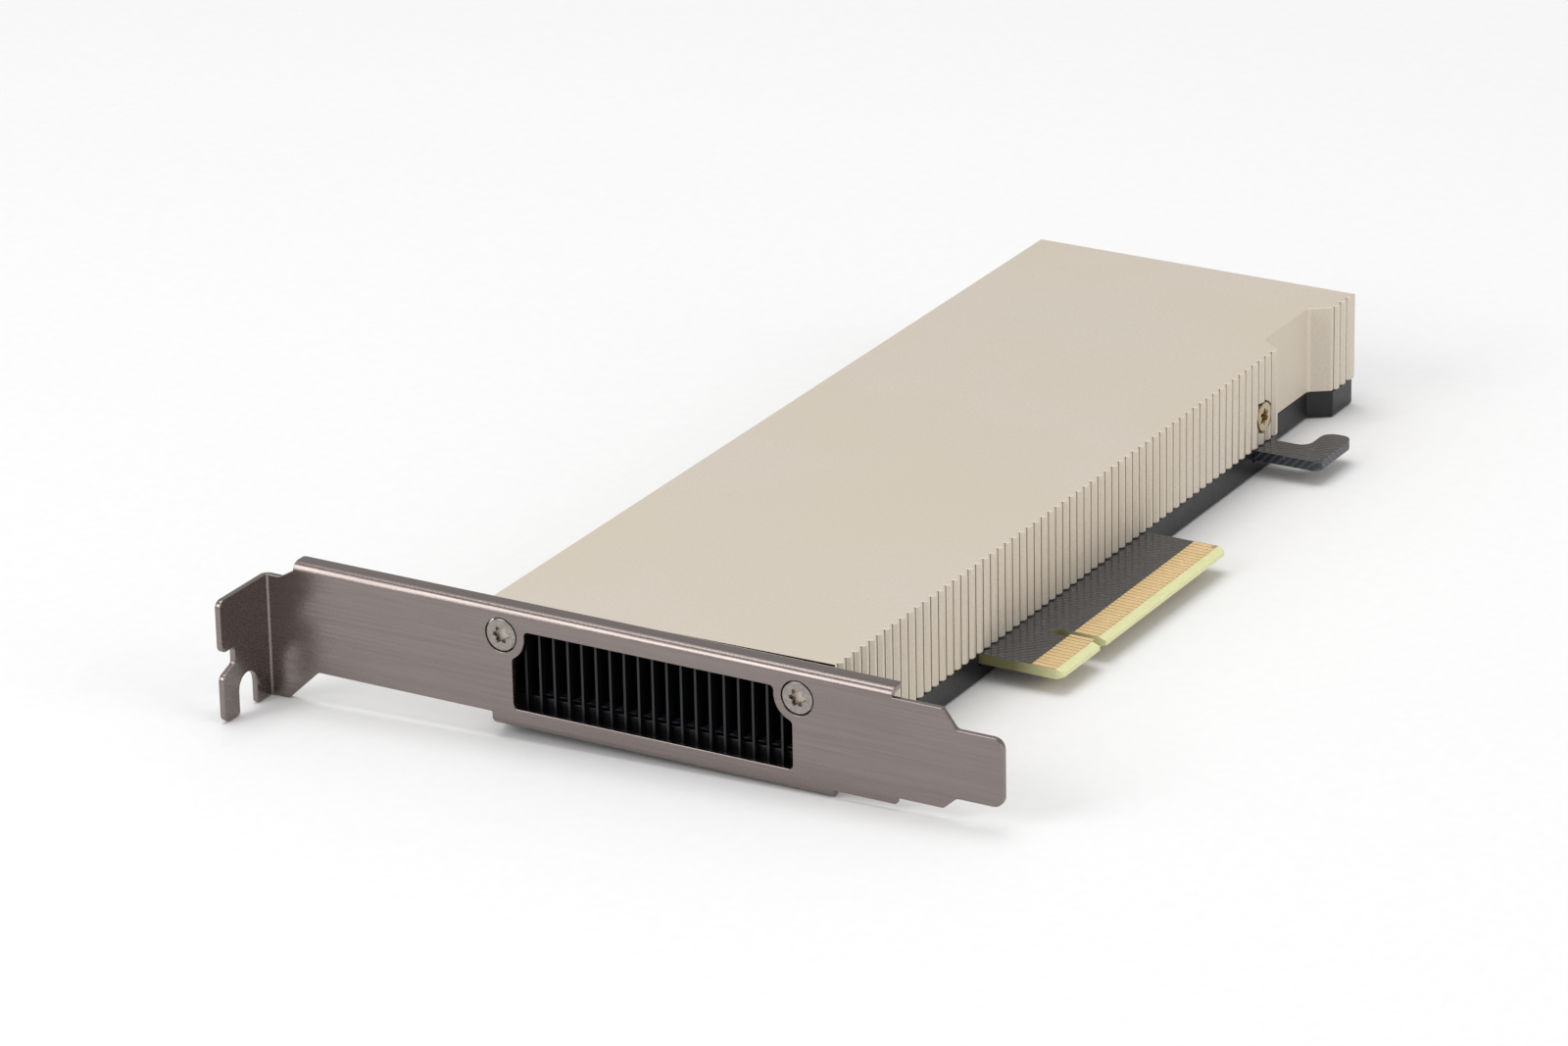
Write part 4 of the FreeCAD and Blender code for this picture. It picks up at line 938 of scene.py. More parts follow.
@dataclass
class LobedScrew:
    """A screw with a six-lobe recess.

    Attributes:
        head: the head's radius.
        head_tall: its height.
        length: from the head's face to the tip.
        countersunk: whether the head is a cone, and not a disc.
        shank: the shank's radius.
        recess: middle radius of the recess.
        lobe: how far its lobes stand out from that.
        recess_deep: depth of its walls.
        steps: points round the screw.
    """

    head: float
    head_tall: float
    length: float
    countersunk: bool
    shank: float = 1.05
    recess: float = 1.1
    lobe: float = 0.24
    recess_deep: float = 1.2
    steps: int = 96

    def stations(self) -> list[tuple[float, float, float]]:
        """The screw's profile, from the tip up the shank, over the head and into the recess.

        Returns:
            Radius, lobe and depth of each ring.
        """
        under = (self.shank, 0, self.head_tall)
        rim = [under, (self.head, 0, 0.14)] if self.countersunk else [
            under, (self.head - 0.1, 0, self.head_tall), (self.head, 0, self.head_tall - 0.1), (self.head, 0, 0.25)]
        return [
            (0, 0, self.length), (self.shank - 0.25, 0, self.length), (self.shank, 0, self.length - 0.3),
            *rim,
            (self.head - 0.02, 0, 0.07), (self.head - 0.12, 0, 0.015), (self.head - 0.3, 0, 0),
            (self.recess + self.lobe + 0.16, 0, 0), (self.recess + 0.07, self.lobe, 0),
            (self.recess, self.lobe, 0.07), (self.recess - 0.05, self.lobe * 0.95, self.recess_deep),
            (0.3, 0.02, self.recess_deep + 0.12), (0, 0, self.recess_deep + 0.16),
        ]

    def patch(self, centre: Sequence[float], turn: Turn) -> Patch:
        """The screw's surface, with the middle of its head's face at centre."""
        return turned(centre, turn, self.stations(), self.steps)


@dataclass
class Cover:
    """The cover: a top plate on two side walls, ribbed on the connector side and plain on the other."""

    wall: float = 1.35
    top_wall: float = 1.8
    rib_pitch: float = 2.2
    rib_depth: float = 0.48
    rib_crest: float = 0.5
    rib_fall: float = 0.6
    rib_root: float = 0.55
    rib_round: float = 0.05
    root_round: float = 0.03
    nick_width: float = 0.24
    nick_depth: float = 0.3
    nick_round: float = 0.02
    nick_facing: tuple[float, float] = (-0.6, -0.1)
    hollow_round: float = 1.0
    hollow_edge: float = 0.4
    inner_round: float = 0.3
    corner_steps: int = 3
    edge: float = 0.16
    low_edge: float = 0.35
    head: float = 2.3
    head_tall: float = 1.1
    head_gap: float = 0.3
    screw_length: float = 6.0
    screw_before_hollow: float = 4.6
    bore_steps: int = 64
    boss: float = 2.4
    boss_length: float = 11.0
    boss_edge: float = 0.1
    boss_end: float = 0.96
    boss_steps: int = 40

    def __post_init__(self) -> None:
        """Takes the cover's place from the frame."""
        low, high = node_box("cover")
        tray = node_box("back_tray")
        self.front, self.rear = tray[0][0], tray[1][0]
        self.low, self.high, self.base, self.top = low[1], high[1], low[2], high[2]
        self.hollow = Hollow()
        self.ceiling = self.top - self.top_wall

    def grooves(self) -> np.ndarray:
        """Corners of the grooves between the ribs: down the long flank, root, nick and up the short flank.

        The nick is the sharp cut that the tool's corner leaves at a rib's foot; its slopes get painted shade, which
        shows as a dark line.

        Returns:
            For each groove from front to rear, six rows of along, across and radius.
        """
        count = math.floor((self.rear - self.front - self.rib_crest) / self.rib_pitch)
        start = self.front + self.rib_crest + self.rib_pitch * np.arange(count)
        foot = self.rib_fall + self.rib_root
        profile = np.array([
            (0, 0, self.rib_round), (self.rib_fall, self.rib_depth, self.rib_round),
            (foot - self.nick_width, self.rib_depth, self.root_round),
            (foot - self.nick_width / 2, self.rib_depth + self.nick_depth, self.nick_round),
            (foot, self.rib_depth, self.nick_round), (self.rib_pitch - self.rib_crest, 0, self.rib_round),
        ])
        return profile[None] + np.stack([start, np.full(start.shape, self.low), 0 * start], axis=1)[:, None]

    def low_side(self) -> list[tuple[float, float, float]]:
        """Outer corners of the connector side, from front to rear, with the hollow among the ribs.

        Where a groove lies across the end of the hollow's rear slope, the slope stops at the groove's root.

        Returns:
            The corners.
        """
        grooves, (front, rear) = self.grooves(), (self.hollow.front, self.hollow.rear)
        starts, ends = grooves[:, 0, 0], grooves[:, -1, 0]
        hollow = np.array(self.hollow.corners(self.low, 0, self.hollow_round))
        hollow[0, 2] = self.hollow_edge
        shared = grooves[(starts <= rear) & (ends > rear)]
        if len(shared):
            meets = rear - self.hollow.rear_run * self.rib_depth / self.hollow.depth
            hollow = np.vstack([hollow[:-1], (meets, self.low + self.rib_depth, self.hollow_edge), shared[0, 2:]])
        rows = np.vstack([(self.front, self.low, self.rib_round), grooves[ends < front].reshape(-1, 3), hollow,
                          grooves[starts > rear].reshape(-1, 3), (self.rear, self.low, self.rib_round)])
        return [tuple(row) for row in rows.tolist()]

    def high_side(self) -> list[tuple[float, float, float]]:
        """Outer corners of the plain side, from rear to front."""
        return [(self.rear, self.high, self.rib_round), (self.front, self.high, self.rib_round)]

    def walls(self) -> list[Blank]:
        """The two side walls, up to the ceiling.

        Returns:
            The wall on the connector side and the one on the plain side.
        """
        inner_low = self.low + self.rib_depth + self.wall
        inner_high = self.high - self.rib_depth - self.wall
        low = [*self.low_side(), (self.rear, inner_low, 0.0),
               *self.hollow.corners(inner_low, self.wall, self.inner_round)[::-1], (self.front, inner_low, 0.0)]
        high = [*self.high_side(), (self.front, inner_high, 0.0), (self.rear, inner_high, 0.0)]
        tall = self.ceiling - self.base
        return [Blank([rounded(corners, self.corner_steps)], tall, near=0.0, far=self.low_edge)
                for corners in (low, high)]

    def paint_nick_shade(self, mesh: bpy.types.Mesh) -> None:
        """Gives the nicks' slopes, which lie deeper than the ribs' roots, the second finish: painted shade.

        They stand upright, and the part of their normal across the card lies in the span of nick_facing.

        Args:
            mesh: the cover's mesh.
        """
        middle, normal = read_rows(mesh.polygons, "center") / MM, read_rows(mesh.polygons, "normal")
        deep = middle[:, 1] - self.low - self.rib_depth
        along_hollow = (middle[:, 0] > self.hollow.front) & (middle[:, 0] < self.hollow.rear)
        facing = (normal[:, 1] > self.nick_facing[0]) & (normal[:, 1] < self.nick_facing[1])
        in_nick = (deep > self.nick_round) & (deep < self.nick_depth)
        nick_shade_faces = (abs(normal[:, 2]) < UPRIGHT) & facing & in_nick & ~along_hollow
        mesh.polygons.foreach_set("material_index", nick_shade_faces.astype(int).tolist())

    def counterbore(self, crest: float, turn: Turn) -> bpy.types.Mesh:
        """A disc as deep as a side screw's head, as a cutter.

        Args:
            crest: the side's outermost place across the card.
            turn: the way into the card.

        Returns:
            The disc's mesh.
        """
        reach, deep = self.head + self.head_gap, self.head_tall
        stations = [(0, 0, -PAST), (reach, 0, -PAST), (reach, 0, deep), (0, 0, deep)]
        return make_mesh("counterbore", [turned(self.screw_face(crest), turn, stations, self.bore_steps)])

    def screw_face(self, crest: float) -> tuple[float, float, float]:
        """Middle of a side screw's face, in front of the hollow and as high as the CAD screws."""
        return self.hollow.front - self.screw_before_hollow, crest, node_middle("side_screw_lower")[2]

    def bosses(self) -> list[Patch]:
        """Turned bosses behind the bracket's screws, with a small cone at their ends.

        Returns:
            A surface for each boss.
        """
        wide, end = self.boss, self.boss_length
        stations = [(0, 0, 0), (wide, 0, 0), (wide, 0, self.boss_edge), (wide, 0, end - self.boss_edge),
                    (self.boss_end * wide, 0, end), (0, 0, end)]
        start = node_box("cover")[0][0]
        return [turned((start, *node_middle(name)[1:]), Turn.INTO_CARD, stations, self.boss_steps)
                for name in ("bracket_screw_lower", "bracket_screw_upper")]

    def build(self) -> None:
        """Makes the cover and its side screws."""
        outline = rounded([*self.low_side(), *self.high_side()], self.corner_steps)
        plate = Blank([outline], self.top_wall, near=self.edge, far=0.0)
        shells = [make_mesh("top_plate", plate.patches(level_place(self.top)))]
        for wall, crest, turn in zip(self.walls(), (self.low, self.high), (Turn.UP_CARD, Turn.DOWN_CARD)):
            side = make_mesh("side_wall", wall.patches(level_place(self.ceiling)))
            shells.append(carve(side, [self.counterbore(crest, turn)]))
        shells += [make_mesh("boss", [patch]) for patch in self.bosses()]
        mesh = join_meshes("ribbed_cover", shells)
        self.paint_nick_shade(mesh)
        add_piece("ribbed_cover", mesh, [CHAMPAGNE, NICK_PAINTED_SHADE], ["cover"])
        screw = LobedScrew(self.head, self.head_tall, self.screw_length, countersunk=False)
        for name, crest, turn in (("lower", self.low, Turn.UP_CARD), ("upper", self.high, Turn.DOWN_CARD)):
            mesh = make_mesh(f"side_screw_{name}", [screw.patch(self.screw_face(crest), turn)])
            add_piece(f"lobed_side_screw_{name}", mesh, [YELLOW_SCREW], [f"side_screw_{name}"])


@dataclass
class Bracket:
    """The bracket: one blank of sheet, cut out and folded along three lines."""

    sheet: float = 0.9
    inside: float = 0.4
    flange_depth: float = 3.0
    top_flange: tuple[float, float] = (2.6, 100.0)
    low_flange: tuple[float, float] = (11.9, 67.2)
    low_flange_slant: float = 0.7
    edge_step: tuple[float, float] = (2.1, 1.0)
    narrow_lift: float = 2.0
    slope: tuple[float, float] = (96.5, 101.7)
    relief_run: float = 2.3
    tongue_width: float = 10.19
    tongue_long: float = 7.25
    shoulder_run: float = 2.1
    tab_reach: float = 11.9
    tab_top_drop: float = 2.65
    slot_width: float = 4.42
    slot_at: float = 5.85
    slot_depth: float = 5.7
    finger_top: float = 7.0
    notch_depth: float = 3.1
    notch_low: float = 8.15
    notch_high: float = 10.7
    window: tuple[float, float] = (18.4, 63.6)
    window_bottom: float = 3.12
    window_top_inset: float = 3.27
    window_corner: float = 0.7
    land: float = 3.8
    head: float = 2.38
    head_gap: float = 0.2
    head_sunk: float = 0.03
    screw_length: float = 7.0
    edge: float = 0.14
    bend_steps: int = 7
    corner_steps: int = 6
    land_steps: int = 16

    def __post_init__(self) -> None:
        """Takes the bracket's place from the frame."""
        low, high = node_box("bracket")
        self.tip, self.ear, self.top = low[1], low[2], high[2]
        self.face = low[0] + self.tab_reach
        self.bottom = node_box("back_tray")[0][2]
        self.outside = self.inside + self.sheet
        self.high_bend, self.low_bend = self.top - self.outside, self.bottom + self.outside
        self.plate_end = high[1] - self.sheet - self.inside
        self.arc = QUARTER * (self.inside + self.sheet / 2)
        self.leg = self.flange_depth - self.outside
        self.screws = [node_middle(name)[1:] for name in ("bracket_screw_lower", "bracket_screw_upper")]

    def fold(self, rows: np.ndarray) -> np.ndarray:
        """Folds the blank: past a bend line, a point turns round the bend's axis and then runs straight on.

        The turn is a quarter over the length of the sheet's middle in the bend, and its radius is the
        distance from the axis, which changes with the depth in the sheet.

        Args:
            rows: along the plate, up the plate and depth below its outer face.

        Returns:
            The folded places.
        """
        along, up, deep = rows.T
        x, y, z = self.face + deep, along.copy(), up.copy()
        for side, line, end in ((1, self.high_bend, self.top_flange[1]), (-1, self.low_bend, self.low_flange[1])):
            past = side * (up - line)
            bent = (past > 0) & (along <= end + WELD)
            angle = np.clip(past / self.arc, 0, 1) * QUARTER
            reach = self.outside - deep
            x = np.where(bent, self.face + self.outside - reach * np.cos(angle)
                         + np.maximum(past - self.arc, 0), x)
            z = np.where(bent, line + side * reach * np.sin(angle), z)
        past = along - self.plate_end
        angle = np.clip(past / self.arc, 0, 1) * QUARTER
        reach = self.inside + deep
        x = np.where(past > 0, self.face - self.inside + reach * np.cos(angle) - np.maximum(past - self.arc, 0), x)
        y = np.where(past > 0, self.plate_end + reach * np.sin(angle), y)
        return np.stack([x, y, z], axis=1)

    def out(self, reach: float) -> float:
        """Place along the blank of a point of the tab that stands out from the face by reach."""
        return self.plate_end + self.arc + reach - self.inside

    def outline(self) -> list[tuple[float, float, float]]:
        """The blank's outline, counter-clockwise from the tongue's tip.

        Returns:
            Along, up and radius of each corner.
        """
        neck = self.tip + self.tongue_long
        shoulder = neck + self.shoulder_run
        middle = (self.top + self.bottom) / 2
        tongue_low, tongue_high = middle - self.tongue_width / 2, middle + self.tongue_width / 2
        low_edge = self.low_bend + self.edge_step[1]
        low_out, high_out = self.low_bend - self.arc - self.leg, self.high_bend + self.arc + self.leg
        narrow, tab_high = self.bottom + self.narrow_lift, self.top - self.tab_top_drop
        slot_near, slot_far = self.slot_at - self.slot_width / 2, self.slot_at + self.slot_width / 2
        slot_top = self.ear + self.slot_depth
        inner = self.tab_reach - self.notch_depth
        round_end = self.slot_width / 2 - HAIR
        return [
            (self.tip, tongue_low, 1.6), (neck, tongue_low, 0.9), (shoulder, low_edge, 0.5),
            (self.edge_step[0], low_edge, 0.15), (self.edge_step[0], self.low_bend, 0.3),
            (self.low_flange[0], self.low_bend, 0.0),
            (self.low_flange[0] + self.low_flange_slant, low_out, 0.5),
            (self.low_flange[1], low_out, 0.5), (self.low_flange[1], narrow, 0.2),
            (self.slope[0], narrow, 1.2), (self.slope[1], self.ear, 0.8),
            (self.out(slot_near), self.ear, 0.4), (self.out(slot_near), slot_top, round_end),
            (self.out(slot_far), slot_top, round_end), (self.out(slot_far), self.ear, 0.5),
            (self.out(self.tab_reach), self.ear, 1.2), (self.out(self.tab_reach), self.ear + self.finger_top, 1.2),
            (self.out(inner), self.ear + self.notch_low, 0.6), (self.out(inner), self.ear + self.notch_high, 0.6),
            (self.out(self.tab_reach), self.ear + self.notch_high, 1.1), (self.out(self.tab_reach), tab_high, 1.2),
            (self.top_flange[1] + self.relief_run, tab_high, 0.8), (self.top_flange[1], self.high_bend, 0.4),
            (self.top_flange[1], high_out, 0.5), (self.top_flange[0], high_out, 0.5),
            (self.top_flange[0], self.high_bend, 0.0), (shoulder, self.high_bend, 0.6),
            (neck, tongue_high, 0.9), (self.tip, tongue_high, 1.6),
        ]

    def window_loop(self) -> np.ndarray:
        """The window: a rectangle whose two upper corners give way to round lands for the screws.

        Returns:
            Its loop, clockwise.
        """
        bottom, corner = self.bottom + self.window_bottom, self.window_corner
        low_side = self.window_shoulder(self.screws[0], self.window[0], 1)
        high_side = self.window_shoulder(self.screws[1], self.window[1], -1)[::-1]
        foot = rounded([(self.window[0], bottom, corner), (self.window[0], self.top, 0.0),
                        (self.window[1], self.top, 0.0), (self.window[1], bottom, corner)], self.corner_steps)
        return without_doubles(np.concatenate([
            low_side, high_side, foot[-self.corner_steps:], foot[:self.corner_steps]]))

    def window_shoulder(self, screw: np.ndarray, side: float, inwards: float) -> np.ndarray:
        """The window's upper corner at one screw: a round, the screw's land and a second round.

        Each round touches a straight edge and the land from outside, so its middle is a corner's radius from
        the edge and the land's radius plus the corner's from the screw.

        Args:
            screw: the screw's middle.
            side: place of the window's end.
            inwards: 1 where the window lies at higher y than this end, and -1 otherwise.

        Returns:
            Points from the window's end to its top edge.
        """
        corner, reach = self.window_corner, self.land + self.window_corner
        top = self.top - self.window_top_inset - corner
        end = side + inwards * corner
        low_middle = np.array([end, screw[1] - math.sqrt(reach ** 2 - (end - screw[0]) ** 2)])
        high_middle = np.array([screw[0] + inwards * math.sqrt(reach ** 2 - (top - screw[1]) ** 2), top])
        low_touch, high_touch = ((screw - middle) / reach for middle in (low_middle, high_middle))
        return np.concatenate([
            arc(low_middle, corner, np.array([-inwards, 0.0]), low_touch, self.corner_steps),
            arc(screw, self.land, -low_touch, -high_touch, self.land_steps),
            arc(high_middle, corner, high_touch, np.array([0.0, 1.0]), self.corner_steps),
        ])

    def build(self) -> None:
        """Makes the folded bracket and its two screws."""
        share = np.linspace(0, 1, self.bend_steps)
        high_lines, low_lines = self.high_bend + self.arc * share, self.low_bend - self.arc * share
        tab_lines = self.plate_end + self.arc * share
        outline = rounded(self.outline(), self.corner_steps)
        outline = split_at(split_at(outline, 1, np.concatenate([high_lines, low_lines])), 0, tab_lines)
        holes = [self.window_loop()] + [circle(*screw, self.head + self.head_gap) for screw in self.screws]
        creases = [((ends[0] - PAST, line), (ends[1] + PAST, line)) for ends, lines in (
            (self.top_flange, high_lines), (self.low_flange, low_lines)) for line in lines]
        creases += [((line, self.ear - PAST), (line, self.top)) for line in tab_lines]
        blank = Blank([outline, *holes], self.sheet, self.edge, self.edge, creases)
        mesh = make_mesh("folded_bracket", blank.patches(self.fold))
        add_piece("folded_bracket", mesh, [NICKEL_SHEET], ["bracket"])
        screw = LobedScrew(self.head, self.sheet, self.screw_length, countersunk=True)
        for name, (across, up) in zip(("lower", "upper"), self.screws):
            patch = screw.patch((self.face + self.head_sunk, across, up), Turn.INTO_CARD)
            add_piece(f"lobed_bracket_screw_{name}", make_mesh(f"bracket_screw_{name}", [patch]), [NICKEL_SCREW],
                      [f"bracket_screw_{name}"])


@dataclass
class Board:
    """The circuit board: tongue with its bevelled edge and key notch, retention hook, and gold contacts."""

    rim: float = 1.15
    key_width: float = 1.9
    key_depth: float = 8.25
    bevel_rise: float = 1.3
    bevel_depth: float = 0.47
    hook_at: float = 75.55
    hook_stem: float = 5.4
    hook_foot: float = 6.4
    hook_low: float = 2.45
    hook_foot_height: float = 4.55
    contact_pitch: float = 1.0
    contact_width: float = 0.7
    contact_start: float = 1.35
    contact_end: float = 5.2
    contact_short: float = 0.65
    contact_corner: float = 0.12
    contact_edge: float = 0.025
    edge_margin: float = 0.3
    edge: float = 0.04

    def __post_init__(self) -> None:
        """Takes the board's and the contacts' places from the frame."""
        low, high = node_box("circuit_board")
        self.front, self.rear, self.high, self.half = low[0], high[0], high[1], high[2]
        self.low = node_box("back_tray")[0][1] + self.rim
        pads_low, pads_high = node_box("contacts_component_side")
        self.pad_ends = (pads_low[0], pads_high[0])
        self.pad_thick = pads_high[2] - pads_low[2]
        self.tongue = (pads_low[0] - self.edge_margin, pads_high[0] + self.edge_margin)
        self.stem = (self.hook_at, self.hook_at + self.hook_stem)
        self.hollow = Hollow()

    def outline(self) -> list[tuple[float, float, float]]:
        """The board's outline, counter-clockwise from its front.

        Returns:
            Along, across and radius of each corner.
        """
        half_key = self.key_width / 2
        hook_end, foot_top = self.stem[1] + self.hook_foot, self.hook_low + self.hook_foot_height
        return [
            (self.front, self.low, 0.0), (self.tongue[0], self.low, 0.6), (self.tongue[0], 0.0, 0.8),
            (-half_key, 0.0, 0.12), (-half_key, self.key_depth, half_key - HAIR),
            (half_key, self.key_depth, half_key - HAIR), (half_key, 0.0, 0.12),
            (self.tongue[1], 0.0, 0.8), (self.tongue[1], self.low, 0.6),
            (self.hook_at, self.low, 0.4), (self.hook_at, self.hook_low, 1.3), (hook_end, self.hook_low, 1.5),
            (hook_end, foot_top, 2.0), (self.stem[1], foot_top, 1.9), (self.stem[1], self.low, 0.4),
            *self.hollow.corners(self.low, self.rim, 0.3),
            (self.rear, self.low, 0.0), (self.rear, self.high, 0.0), (self.front, self.high, 0.0),
        ]

    def taper(self, rows: np.ndarray) -> np.ndarray:
        """Lays the board flat and thins it towards the leading edge.

        Over the bevel's rise, the height from the board's middle falls in line with the distance to the edge.

        Args:
            rows: x, y and depth below the component face.

        Returns:
            The places.
        """
        lost = self.bevel_depth / self.half * np.clip(1 - rows[:, 1] / self.bevel_rise, 0, 1)
        return np.stack([rows[:, 0], rows[:, 1], (self.half - rows[:, 2]) * (1 - lost)], axis=1)

    def pad(self, length: float) -> np.ndarray:
        """Outline of one contact, from its foot, with rounded corners."""
        half, corner = self.contact_width / 2, self.contact_corner
        return rounded([(-half, 0, corner), (half, 0, corner), (half, length, corner), (-half, length, corner)], 3)

    def contacts(self, side: int) -> list[Patch]:
        """All contacts of one face.

        Args:
            side: 1 for the component side and -1 for the solder side.

        Returns:
            A patch for each part of each contact.
        """
        first, nearest = self.contact_width / 2, self.contact_pitch / 2
        before = np.arange(self.pad_ends[0] + first, -nearest, self.contact_pitch)
        after = np.arange(self.pad_ends[1] - first, nearest, -self.contact_pitch)[::-1]
        level = self.half + self.pad_thick
        made = []
        for centre in (*before, *after):
            start = self.contact_start + (self.contact_short if centre == after[-1] else 0)
            loop = self.pad(self.contact_end - start) + np.array([centre, start])
            pad = Blank([loop], self.pad_thick, near=self.contact_edge, far=0.0)
            made += pad.patches(lambda rows: rows * (1, 1, -side) + (0, 0, side * level))
        return made

    def build(self) -> None:
        """Makes the board and the contacts of both faces."""
        loop = split_at(rounded(self.outline()), 1, np.array([self.bevel_rise]))
        crease = ((self.tongue[0] - PAST, self.bevel_rise), (self.tongue[1] + PAST, self.bevel_rise))
        blank = Blank([loop], 2 * self.half, self.edge, self.edge, [crease])
        mesh = make_mesh("masked_board", blank.patches(self.taper))
        self.bare_edges(mesh)
        add_piece("masked_board", mesh, [SOLDER_MASK, LAMINATE], ["circuit_board"])
        for name, side in (("component", 1), ("solder", -1)):
            node = f"contacts_{name}_side"
            add_piece(f"gold_{node}", make_mesh(node, self.contacts(side)), [HARD_GOLD], [node])

    def bare_edges(self, mesh: bpy.types.Mesh) -> None:
        """Gives the laminate's finish to the bevel's slopes and to the tongue's cut edges.

        Args:
            mesh: the board's mesh, whose other faces keep the mask.
        """
        middle, normal = read_rows(mesh.polygons, "center") / MM, read_rows(mesh.polygons, "normal")
        on_tongue = (middle[:, 0] < self.tongue[1] + PAST) & (middle[:, 1] < self.low - PAST)
        bare = on_tongue & ((middle[:, 1] < self.bevel_rise) | (abs(normal[:, 2]) < UPRIGHT))
        mesh.polygons.foreach_set("material_index", bare.astype(int).tolist())


@dataclass
class BackTray:
    """The black tray under the board: floor, rim with slots for the tongue and the hook, and flat screws."""

    rim: float = 1.0
    floor: float = 0.8
    slot_gap: float = 0.35
    slot_reach: tuple[float, float] = (-2.0, 5.0)
    edge: float = 0.35
    rim_edge: float = 0.08
    corner: float = 0.3
    inner_corner: float = 0.2
    land: float = 2.2
    head: float = 2.15
    head_tall: float = 1.0
    screw_length: float = 6.9

    def __post_init__(self) -> None:
        """Takes the tray's place from the frame."""
        low, high = node_box("back_tray")
        self.front, self.low, self.bottom = low
        self.rear, self.high, self.top = high
        self.hollow = Hollow()

    def outline(self, inset: float, radius: float) -> np.ndarray:
        """The tray's outline, moved inwards.

        Args:
            inset: how far it is moved.
            radius: of its corners.

        Returns:
            The outline's points.
        """
        low = self.low + inset
        return rounded([
            (self.front + inset, low, radius), *self.hollow.corners(low, inset, radius),
            (self.rear - inset, low, radius), (self.rear - inset, self.high - inset, radius),
            (self.front + inset, self.high - inset, radius),
        ], 4)

    def slot_cutter(self, left: float, right: float) -> bpy.types.Mesh:
        """A block that opens the rim from the board's underside up.

        Args:
            left: where the slot starts along the card.
            right: where it ends.

        Returns:
            The block's mesh.
        """
        underside, top = node_box("circuit_board")[0][2] - self.slot_gap, self.top + PAST
        out, into = self.low + self.slot_reach[0], self.hollow.low + self.slot_reach[1]
        loop = np.array([(left, out), (right, out), (right, into), (left, into)])
        return make_mesh("rim_slot", Blank([loop], top - underside, 0.0, 0.0).patches(level_place(top)))

    def build(self) -> None:
        """Makes the tray and its screws."""
        outline = self.outline(0, self.corner)
        floor = Blank([outline], self.floor, near=0.0, far=self.edge)
        rim = Blank([outline, self.outline(self.rim, self.inner_corner)[::-1]],
                    self.top - self.bottom - self.floor, near=self.rim_edge, far=0.0)
        board = Board()
        slots = [self.slot_cutter(left - self.slot_gap, right + self.slot_gap)
                 for left, right in (board.tongue, board.stem)]
        shells = [make_mesh("floor", floor.patches(level_place(self.bottom + self.floor))),
                  carve(make_mesh("rim", rim.patches(level_place(self.top))), slots)]
        add_piece("painted_tray", join_meshes("painted_tray", shells), [BLACK_POWDER], ["back_tray"])
        screw = LobedScrew(self.head, self.head_tall, self.screw_length, countersunk=True)
        shells = [make_mesh("tray_screw", [screw.patch((x, y, self.bottom), Turn.THROUGH_CARD)])
                  for x, y in self.screw_places()]
        add_piece("lobed_tray_screws", join_meshes("tray_screws", shells), [BLACK_OXIDE],
                  ["tray_screws"])

    def screw_places(self) -> list[tuple[float, float]]:
        """Middles of the four screws, from the CAD ones: the rear lower one stands further in.

        Returns:
            Along and across for each screw.
        """
        (low, high), reach = node_box("tray_screws"), self.land
        points = read_rows(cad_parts["tray_screws"].data.vertices, "co") / MM
        rear = points[points[:, 0] > (low[0] + high[0]) / 2]
        rear_low = rear[rear[:, 1] < (low[1] + high[1]) / 2][:, 1].min()
        near, far = low[0] + reach, high[0] - reach
        return [(near, low[1] + reach), (near, high[1] - reach), (far, rear_low + reach), (far, high[1] - reach)]


@dataclass
class Inside:
    """What the cover hides: the CAD pieces keep their shapes and get finishes."""

    def build(self) -> None:
        """Gives each hidden CAD node its finish."""
        shared = {node: INNER_FINISHES[like] for node, like in SAME_FINISH.items()}
        for name, finish in {**INNER_FINISHES, **shared}.items():
            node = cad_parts[name]
            for slot in node.material_slots:
                slot.material = finish.material()
            LOG.info("%s: %s", name, finish.name)


# --- the studio ---------------------------------------------------------------------------------------------

# The photograph's width in pixels.
PHOTO_WIDTH = 1600


@dataclass
class Camera:
    """The camera that took the photograph, from a fit to the card's corners.

    Attributes:
        azimuth: degrees from the card's front towards its connector side.
        elevation: degrees above the board.
        roll: degrees that the camera leans.
        distance: from the target in millimetres.
        focal: focal length in pixels of the photograph.
        target: where the camera points.
        sensor: the sensor's width in millimetres.
        clip: nearest and farthest distance in metres that the camera shows.
    """

    azimuth: float = 30.332
    elevation: float = 22.27
    roll: float = -1.182
    distance: float = 1034.8
    focal: float = 7090.3
    target: tuple[float, float, float] = (17.542, 62.664, 0.785)
    sensor: float = 36.0
    clip: tuple[float, float] = (0.01, 50.0)

    def build(self) -> None:
        """Makes the scene's camera."""
        azimuth, elevation = math.radians(self.azimuth), math.radians(self.elevation)
        back = Vector((-math.cos(azimuth) * math.cos(elevation), -math.sin(azimuth) * math.cos(elevation),
                       math.sin(elevation)))
        right = (-back).cross(Vector((0, 0, 1))).normalized()
        up = right.cross(-back)
        lean = Matrix.Rotation(math.radians(self.roll), 3, -back)
        axes = Matrix((lean.inverted() @ right, lean.inverted() @ up, back)).transposed()
        data = bpy.data.cameras.new("camera")
        data.sensor_width = self.sensor
        data.lens = self.focal / PHOTO_WIDTH * self.sensor
        data.clip_start, data.clip_end = self.clip
        camera = bpy.data.objects.new("camera", data)
        place = (Vector(self.target) + back * self.distance) * MM
        camera.matrix_world = Matrix.Translation(place) @ axes.to_4x4()
        bpy.context.scene.collection.objects.link(camera)
        bpy.context.scene.camera = camera


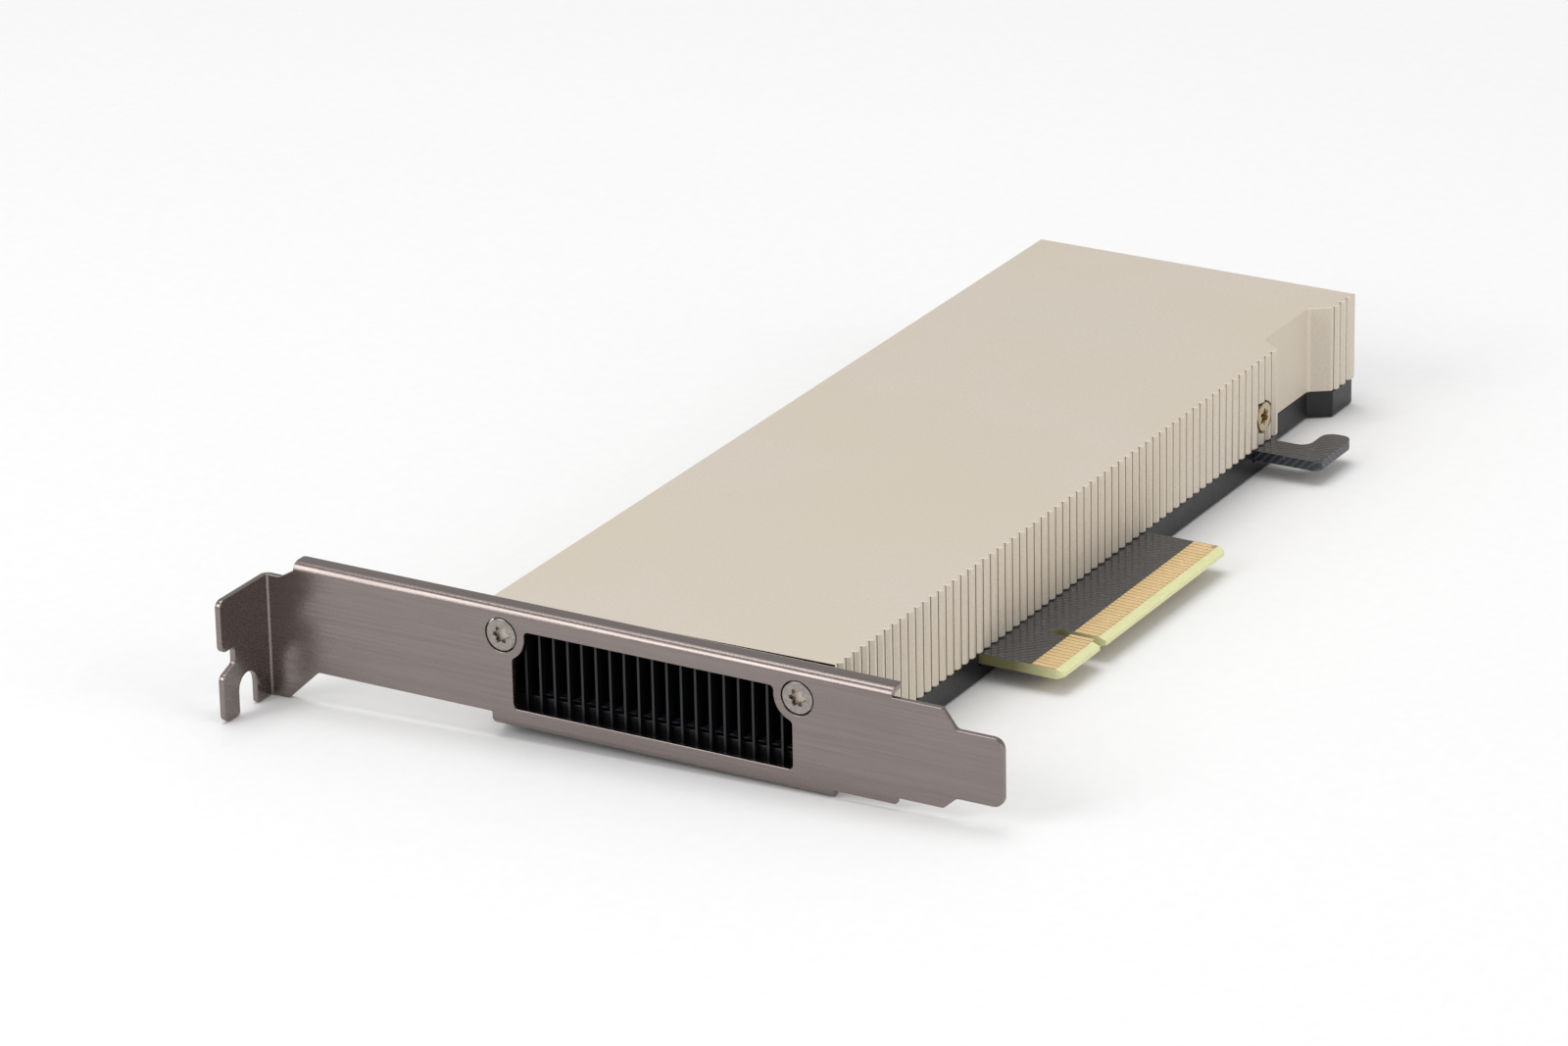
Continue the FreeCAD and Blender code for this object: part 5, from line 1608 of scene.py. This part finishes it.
@dataclass(frozen=True)
class SoftBox:
    """A square lamp that points at the card.

    Attributes:
        name: the lamp's name.
        place: its middle in metres.
        width: its side in metres.
        power: in watts.
        aim: where it points.
    """

    name: str
    place: tuple[float, float, float]
    width: float
    power: float
    aim: tuple[float, float, float] = (0.02, 0.04, 0.0)

    def build(self) -> None:
        """Makes the lamp."""
        data = bpy.data.lights.new(self.name, "AREA")
        data.shape = "SQUARE"
        data.size = self.width
        data.energy = self.power
        lamp = bpy.data.objects.new(self.name, data)
        lamp.location = self.place
        lamp.rotation_mode = "QUATERNION"
        lamp.rotation_quaternion = (Vector(self.place) - Vector(self.aim)).to_track_quat("Z", "Y")
        bpy.context.scene.collection.objects.link(lamp)


@dataclass
class Studio:
    """A pale floor that touches the card where it lies, an even surround and three soft boxes.

    Attributes:
        floor_reach: half of the floor's side in millimetres.
        floor_steps: points along its side.
        floor_gap: how far the floor stays below the card.
        world_strength: brightness of the surround.
        first_touch: place across the card of the bracket's lower flange, which touches the table.
        ear_run: how far the flat foot of the bracket's ear runs in from the bracket's end.
        lamps: the soft boxes.
    """

    floor_reach: float = 6000.0
    floor_steps: int = 9
    floor_gap: float = 0.02
    world_strength: float = 0.55
    first_touch: float = 11.9
    ear_run: float = 4.6
    lamps: tuple[SoftBox, ...] = (
        SoftBox("front_soft_box", (-0.9, 0.6, 0.62), 0.6, 4.5),
        SoftBox("top_soft_box", (0.1, 0.3, 1.5), 1.0, 11.0),
        SoftBox("side_soft_box", (-0.1, -1.1, 0.45), 0.8, 4.5),
    )

    def floor(self) -> None:
        """A flat sheet of paper under the card, which lies on its bracket's ear and on the side by the connector.

        Its slope is the ear's drop below the tray over the distance across the card, and it stays a hair
        below both.
        """
        bracket, tray = node_box("bracket"), node_box("back_tray")
        touch = np.array([0.0, self.first_touch, tray[0][2]])
        across = np.array([0.0, bracket[1][1] - self.ear_run, bracket[0][2]]) - touch
        across /= np.linalg.norm(across)
        along = np.array([1.0, 0.0, 0.0])
        share = np.linspace(-1, 1, self.floor_steps) * self.floor_reach
        touch -= np.cross(along, across) * self.floor_gap
        grid = touch + share[:, None, None] * along + share[None, :, None] * across
        patch = grid_patch(grid)
        mesh = bpy.data.meshes.new("floor")
        mesh.from_pydata((patch.points * MM).tolist(), [], patch.faces.tolist())
        mesh.materials.append(PAPER.material())
        floor = bpy.data.objects.new("floor", mesh)
        bpy.context.scene.collection.objects.link(floor)

    def world(self) -> None:
        """An even surround, dimmer than the floor, so that the metal shows light and dark."""
        world = bpy.data.worlds.new("white_surround")
        bpy.context.scene.world = world
        world.use_nodes = True
        tree = world.node_tree
        tree.nodes.clear()
        light = add_node(tree, "ShaderNodeBackground", {"Color": (1, 1, 1, 1), "Strength": self.world_strength})
        add_node(tree, "ShaderNodeOutputWorld", {"Surface": light.outputs[0]})

    def build(self) -> None:
        """Makes the studio."""
        self.floor()
        self.world()
        for lamp in self.lamps:
            lamp.build()
        bpy.context.scene.view_settings.view_transform = "Standard"


def main() -> None:
    """Builds the card and the studio."""
    logging.basicConfig(level=logging.INFO, format="%(message)s")
    for part in (Cover(), Bracket(), Board(), BackTray(), Inside(), Camera(), Studio()):
        part.build()


if __name__ == "__main__":
    main()
